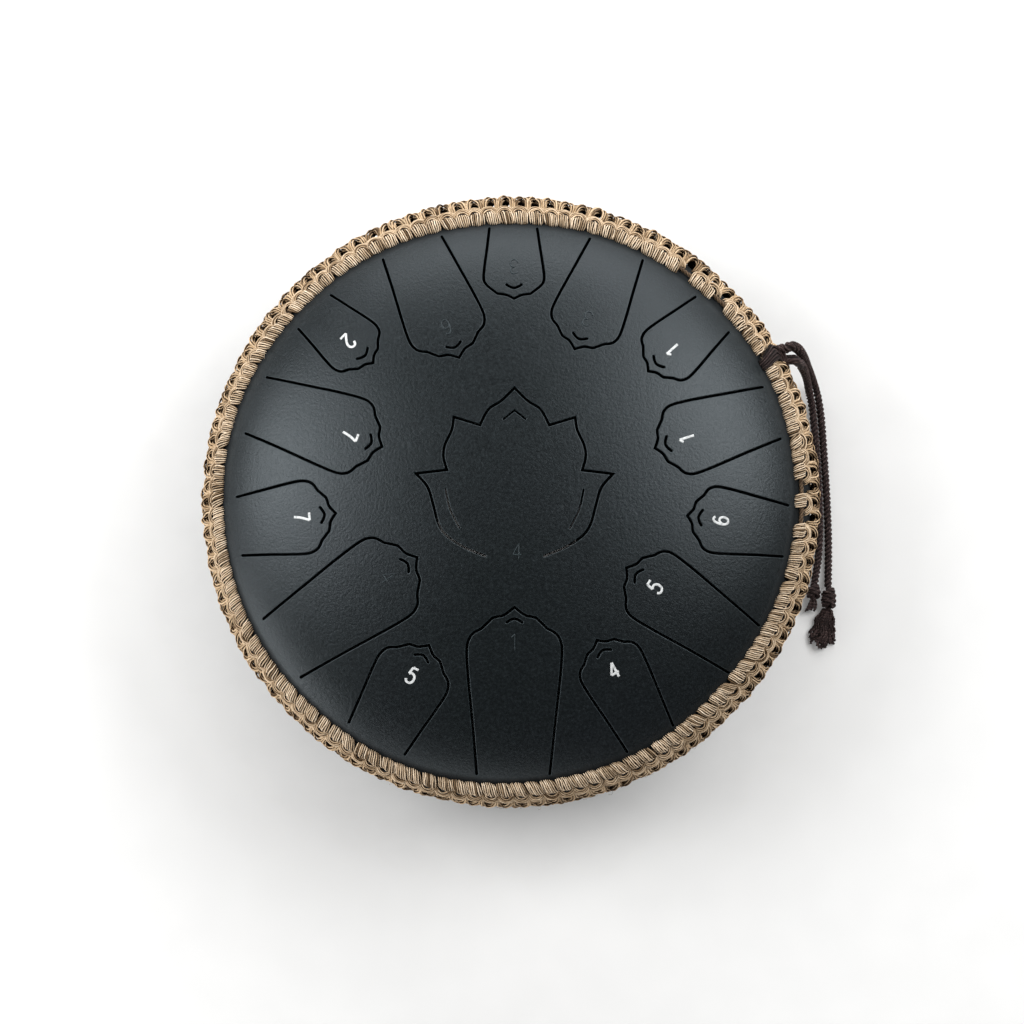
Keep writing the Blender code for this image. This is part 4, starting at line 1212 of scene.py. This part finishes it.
def make_hitch(short_line, long_line):
    """Yarns fanned over the belt, gathered under a few turns where the two tails start."""
    draws = np.random.default_rng(7)
    azimuth = math.radians(HITCH_AZIMUTH)
    along_belt = np.array((-math.sin(azimuth), math.cos(azimuth), 0.0))
    outward = np.array((math.cos(azimuth), math.sin(azimuth), 0.0))
    top = np.array((0.0, 0.0, 1.0))
    height, lift, spread = (np.array(column) for column in zip(*HITCH_CONTROLS))
    bend = HITCH_BEND * np.sin(np.linspace(-1.5, 1.5, len(HITCH_CONTROLS)))
    ends = (short_line[0] - 2.0 * MM * along_belt, long_line[0] + 2.0 * MM * along_belt)
    yarns, tones, sizes = [], [], []
    for layer in range(len(HITCH_LAYER_TONES)):
        for k in range(HITCH_YARNS):
            place = (k + 0.5 * (layer % 2)) / (HITCH_YARNS - 0.5) * 2 - 1
            along = (HITCH_FAN * place * spread + bend + draws.normal(0, 0.1, len(height))) * MM
            raised = (lift + 0.5 * math.cos(place * 1.5) + 0.3 * (-1) ** k + draws.normal(0.0, 0.1)
                      - 0.8 * layer * np.minimum(1.0, lift / 4)) * MM
            path = belt_place(azimuth + along / BELT_RADIUS, height * MM, np.maximum(raised, 0))
            end = (ends[0] * (1 - place) + ends[1] * (1 + place)) / 2
            end = end + (1.5 * math.sqrt(1 - 0.6 * place ** 2) - 1.1 * layer
                         + 0.25 * (-1) ** k) * MM * top
            path = np.concatenate([path, [end, end + 1.8 * MM * outward - 0.5 * MM * top]])
            yarns.append(hitch_yarn(path, along_belt))
            tones.append(draws.uniform(0.45, 0.95) * HITCH_LAYER_TONES[layer])
            sizes.append(np.linspace(0.56, 0.66, HITCH_POINTS) * MM)
    for turn in range(HITCH_TURNS):
        low, high = short_line[2 * turn], long_line[2 * turn]
        path = np.array([low + part * (high - low) + (along * along_belt + up * top) * MM
                         for part, along, up in TURN_CONTROLS])
        yarns.append(hitch_yarn(path + draws.normal(0.0, 0.15 * MM, path.shape), outward))
        tones.append(draws.uniform(0.7, 1.0))
        sizes.append(np.full(HITCH_POINTS, TURN_RADIUS))
    paths, across = (np.array(values) for values in zip(*yarns))
    tangent = np.gradient(paths, axis=1)
    # Turn across so that each yarn's painted highlight lies on its upper side.
    facing_up = np.cross(tangent, across)[..., 2:].mean(axis=1, keepdims=True) > 0
    across = np.where(facing_up, across, -across)
    mesh = tube_mesh("hitch", paths, across, np.array(sizes), np.array(tones), 10, 1.0)
    return add_piece("hitch", mesh, [DARK_CORD], "dark_cord", "tie_cord_hitch")


make_hitch(*TAIL_LINES)

# ---- digits on the tongues -------------------------------------------------

DIGIT_HEIGHT = 9.0 * MM
DIGIT_WIDTH = 5.2 * MM
DIGIT_OUTWARD = 20.0 * MM    # from a tongue's tip to the middle of its digit
STROKE_POINTS = 28
LOTUS_DIGIT = (0.0014, -0.0330)

# Strokes of the digits in a box 1 wide and 1 high; two points are a straight stroke.
DIGITS = {
    "1": (((0.18, 0.80), (0.55, 1.0)), ((0.55, 1.0), (0.55, 0.0))),
    "2": (((0.08, 0.76), (0.24, 0.95), (0.52, 1.0), (0.80, 0.92), (0.90, 0.74), (0.80, 0.52),
           (0.45, 0.25), (0.06, 0.0)), ((0.06, 0.0), (0.94, 0.0))),
    "3": (((0.10, 0.86), (0.28, 0.97), (0.52, 1.0), (0.78, 0.92), (0.86, 0.75), (0.74, 0.58),
           (0.42, 0.52)),
          ((0.42, 0.52), (0.78, 0.46), (0.92, 0.26), (0.78, 0.06), (0.48, 0.0), (0.22, 0.04),
           (0.06, 0.18))),
    "4": (((0.70, 0.0), (0.70, 1.0)), ((0.70, 1.0), (0.04, 0.30)), ((0.04, 0.30), (0.96, 0.30))),
    "5": (((0.84, 1.0), (0.22, 1.0)), ((0.22, 1.0), (0.13, 0.55)),
          ((0.13, 0.55), (0.42, 0.64), (0.76, 0.57), (0.92, 0.33), (0.80, 0.09), (0.48, 0.0),
           (0.20, 0.05), (0.06, 0.18))),
    "6": (((0.84, 0.88), (0.66, 0.99), (0.44, 0.98), (0.22, 0.80), (0.10, 0.48), (0.12, 0.22),
           (0.28, 0.04), (0.52, 0.0), (0.78, 0.08), (0.90, 0.30), (0.80, 0.52), (0.54, 0.60),
           (0.28, 0.52), (0.11, 0.32)),),
    "7": (((0.06, 1.0), (0.92, 1.0)), ((0.92, 1.0), (0.56, 0.50), (0.36, 0.0))),
}


def digit_strokes(digit, centre, turn):
    """A digit's strokes on the dome; its top points along (cos turn, sin turn)."""
    up = Vector((math.cos(turn), math.sin(turn)))
    right = Vector((up.y, -up.x))
    strokes = []
    for stroke in DIGITS[digit]:
        line = np.array([(x, y, 0.0) for x, y in stroke])
        line = smoothed(line[None], 10)[0] if len(stroke) > 2 else line
        for x, y, _ in resampled(line, STROKE_POINTS):
            p = centre + right * ((x - 0.5) * DIGIT_WIDTH) + up * ((y - 0.5) * DIGIT_HEIGHT)
            strokes.append((p.x, p.y, dome_height(p.x, p.y)))
    return np.array(strokes).reshape(-1, STROKE_POINTS, 3)


def make_digits(name, marks, material, half_width, proud):
    """One mesh of digits whose strokes stand proud of the coat."""
    paths = np.concatenate([digit_strokes(*mark) for mark in marks])
    normals = np.array([[dome_normal(x, y) for x, y, _ in path] for path in paths])
    side = np.cross(normals, unit(np.gradient(paths, axis=1)))
    radius = np.full(paths.shape[:2], half_width)
    mesh = tube_mesh(name, paths, side, radius, np.ones(len(paths)), 10, proud / half_width)
    return add_piece(name, mesh, [material], "powder_coated_steel")


def make_all_digits():
    painted, raised = [], [("4", Vector(LOTUS_DIGIT), math.pi / 2)]
    for _, azimuth, tip, _, _, digit, is_painted in TONGUES:
        turn = math.radians(azimuth)
        centre = Vector((math.cos(turn), math.sin(turn))) * (tip + DIGIT_OUTWARD)
        (painted if is_painted else raised).append((digit, centre, turn + math.pi))
    # Half the stroke's width, and how far it stands off the coat.
    make_digits("painted_digits", painted, MARKING, 0.72 * MM, 0.12 * MM)
    # The raised digits take the lighter coat, a painted highlight on their strokes.
    make_digits("raised_digits", raised, HIGHLIGHT_PAINT, 0.36 * MM, 0.34 * MM)


make_all_digits()

# ---- bottom shell, weld and feet -------------------------------------------


def hex_angle(angle):
    """Reach of a hexagon at an angle, for one unit across half its flats."""
    return 1 / math.cos((angle + math.pi / 6) % (math.pi / 3) - math.pi / 6)


def turned_mesh(name, profile, segments, centre=(0.0, 0.0)):
    """A closed solid turned from (radius, z) or (radius, z, shape) points, up the outside."""
    vertices, rows, faces = [], [], []
    for radius, z, *shape in profile:
        if radius == 0.0:
            rows.append([len(vertices)] * segments)
            vertices.append((centre[0], centre[1], z))
            continue
        rows.append(list(range(len(vertices), len(vertices) + segments)))
        for k in range(segments):
            angle = math.tau * k / segments
            reach = radius * shape[0](angle) if shape else radius
            vertices.append((centre[0] + reach * math.cos(angle),
                             centre[1] + reach * math.sin(angle), z))
    closed = profile[0][0] > 0.0
    for number in range(len(rows) if closed else len(rows) - 1):
        here, there = rows[number], rows[(number + 1) % len(rows)]
        for k in range(segments):
            m = (k + 1) % segments
            faces.append(tuple(dict.fromkeys((here[k], here[m], there[m], there[k]))))
    mesh = bpy.data.meshes.new(name)
    mesh.from_pydata(vertices, [], faces)
    mesh.shade_smooth()
    mesh.set_sharp_from_angle(angle=math.radians(50))
    return mesh


def make_bottom_shell():
    side = SHELL_RADIUS - BASE_RADIUS
    rim = SEAM_Z - SEAM_ROOT_GAP / 2
    lip = STEEL / 2
    outer = [(BASE_RADIUS + side * math.cos(t), SEAM_Z - BOWL_DEPTH * math.sin(t))
             for t in (math.pi / 2 * k / 44 for k in range(44, 0, -1))]
    hole = [(SOUND_HOLE_RADIUS + lip - lip * math.sin(t), FOOT_HEIGHT + lip + lip * math.cos(t))
            for t in (math.pi * k / 8 for k in range(9))]
    inner_side, inner_depth = side - STEEL, BOWL_DEPTH - STEEL
    inner = [(BASE_RADIUS + inner_side * math.cos(t), SEAM_Z - inner_depth * math.sin(t))
             for t in (math.pi / 2 * k / 24 for k in range(1, 25))]
    flat = [(r * MM, FOOT_HEIGHT) for r in (52, 60, 68, 76, 84)]
    flat_inside = [(r * MM, FOOT_HEIGHT + STEEL) for r in (84, 72, 60)]
    profile = (hole + flat + outer + [(SHELL_RADIUS, rim - RIM_CHAMFER),
                                      (SHELL_RADIUS - RIM_CHAMFER, rim),
                                      (SHELL_RADIUS - STEEL, rim)]
               + inner + flat_inside)
    mesh = turned_mesh("drum_bottom", profile, 256)
    return add_piece("drum_bottom", mesh, [PAINT], "powder_coated_steel", "bottom_shell")


def make_weld():
    """The seam's bead, with the ripples that a slow weld leaves."""
    low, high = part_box("seam_weld_bead")
    half_height = (high.z - low.z) / 2
    middle = high.x - half_height * 0.55
    ripples, per_ripple, around = 480, 5, 10
    count = ripples * per_ripple
    run = np.arange(count) / per_ripple
    saw = 1 - 0.22 * (run % 1.0) ** 2
    drift = np.array([noise.noise(Vector((k * 0.11, 1.3, 4.1))) for k in run])
    angle = math.tau * np.arange(around) / around
    turn = math.tau * np.arange(count) / count
    size = (saw * (0.95 + 0.08 * drift))[:, None]
    radius = middle + 0.55 * half_height * size * np.cos(angle)
    z = (low.z + high.z) / 2 + half_height * size * np.sin(angle)
    vertices = np.stack([radius * np.cos(turn)[:, None], radius * np.sin(turn)[:, None], z], -1)
    index = np.arange(count * around).reshape(count, around)
    ahead, beside = np.roll(index, -1, axis=0), np.roll(index, -1, axis=1)
    quads = np.stack([index, ahead, np.roll(ahead, -1, axis=1), beside], -1).reshape(-1, 4)
    mesh = grid_mesh("weld_bead", vertices.reshape(-1, 3), quads)
    return add_piece("weld_bead", mesh, [WELD], "weld_steel", "seam_weld_bead")


FOOT_PROFILE = ((6.5, 0.5), (7.0, 0.0), (11.4, 0.0), (11.9, 0.2), (12.1, 0.7), (12.3, 2.0),
                (13.0, 6.2), (13.2, 6.5), (12.9, 6.9), (13.2, 7.3), (13.5, 8.6), (13.9, 11.0),
                (13.8, 11.6), (13.2, 11.85), (2.8, 11.85), (2.8, 4.6), (6.2, 4.6), (6.5, 4.3))
SCREW_HEAD = ((0.0, 2.1), (1.5, 2.1, hex_angle), (1.5, 1.0, hex_angle), (2.1, 0.8),
              (3.4, 0.85), (4.1, 1.15), (4.45, 1.7), (4.5, 2.8), (4.3, 3.0), (2.5, 3.0))
THREAD_PITCH = 0.8
THREAD_TOP = 20.4


def make_feet():
    """Rubber feet with grooves, and the screws that hold them, threads and sockets included."""
    thread = []
    z = 3.4
    while z < THREAD_TOP - THREAD_PITCH:
        thread += [(2.2, z), (2.5, z + 0.35 * THREAD_PITCH), (2.5, z + 0.5 * THREAD_PITCH)]
        z += THREAD_PITCH
    screw = SCREW_HEAD + tuple(thread) + ((2.1, THREAD_TOP - 0.1), (0.0, THREAD_TOP))
    for number in range(1, 5):
        low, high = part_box(f"foot_{number}")
        centre = ((low.x + high.x) / 2, (low.y + high.y) / 2)
        for kind, points, segments, material, slot in (
                ("foot", FOOT_PROFILE, 72, RUBBER, "black_rubber"),
                ("foot_screw", screw, 36, ZINC, "zinc_steel")):
            profile = [(r * MM, z * MM, *shape) for r, z, *shape in points]
            name = f"{kind}_visual_{number}"
            mesh = turned_mesh(name, profile, segments, centre)
            add_piece(name, mesh, [material], slot, f"{kind}_{number}")
        for kind in ("washer", "nut"):
            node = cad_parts[f"foot_{kind}_{number}"]
            for place in node.material_slots:
                place.material = ZINC


make_bottom_shell()
make_weld()
make_feet()

# ---- light and floor -------------------------------------------------------


def area_light(name, place, size, power):
    data = bpy.data.lights.new(name, 'AREA')
    data.shape = 'RECTANGLE'
    data.size, data.size_y = size
    data.energy = power
    lamp = linked(name, data)
    lamp.location = place
    lamp.rotation_mode = 'QUATERNION'
    aim = Vector((0.0, 0.0, SEAM_Z)) - Vector(place)
    lamp.rotation_quaternion = aim.to_track_quat('-Z', 'Y')


FLOOR_HALF = 12.0            # metres


def make_studio():
    area_light("back", (0.05, 1.30, 0.68), (1.8, 0.6), 13.5)
    area_light("left", (-1.18, 0.28, 1.10), (0.9, 1.0), 18.0)
    area_light("right", (1.10, 0.56, 1.18), (1.1, 1.0), 20.0)
    area_light("front_fill", (-0.3, -1.7, 0.36), (1.4, 0.5), 3.5)
    area_light("low_left", (-1.35, -0.75, 0.34), (1.0, 0.4), 6.5)
    world = bpy.data.worlds.new("studio")
    world.use_nodes = True
    background = world.node_tree.nodes["Background"]
    background.inputs["Color"].default_value = (1.0, 1.0, 1.0, 1.0)
    background.inputs["Strength"].default_value = 0.06
    bpy.context.scene.world = world
    bpy.context.scene.view_settings.view_transform = 'Standard'
    mesh = bpy.data.meshes.new("floor")
    mesh.from_pydata([(x * FLOOR_HALF, y * FLOOR_HALF, 0.0)
                      for x, y in ((-1, -1), (1, -1), (1, 1), (-1, 1))], [], [(0, 1, 2, 3)])
    floor = linked("floor", mesh)
    pale = Shader("floor_paper", 0.9, Emission_Strength=0.205)
    # The paper glows a little, a painted light that brightens it and lifts the shadows on it. The
    # glow fades out from 0.24 m to 0.15 m from the axis, which paints the floor darker round the
    # drum, and none is under it, where the sound hole would show it.
    place = pale.coordinates((1.0, 1.0, 1.0))
    away = pale.node("ShaderNodeVectorMath", {0: place}, operation='LENGTH').outputs["Value"]
    glow = pale.ramp(pale.grey(away, 0.15, 0.24), ((0.0, (0.0, 0.0, 0.0)), (1.0, (1.0, 1.0, 0.99))))
    pale.tree.links.new(glow, pale.out.inputs["Emission Color"])
    grain = pale.noise(place, 40.0, 2.0)
    pale.colour(pale.ramp(grain, ((0.3, (0.80, 0.80, 0.795)), (0.7, (0.83, 0.83, 0.825)))))
    mesh.materials.append(pale.material)


make_studio()
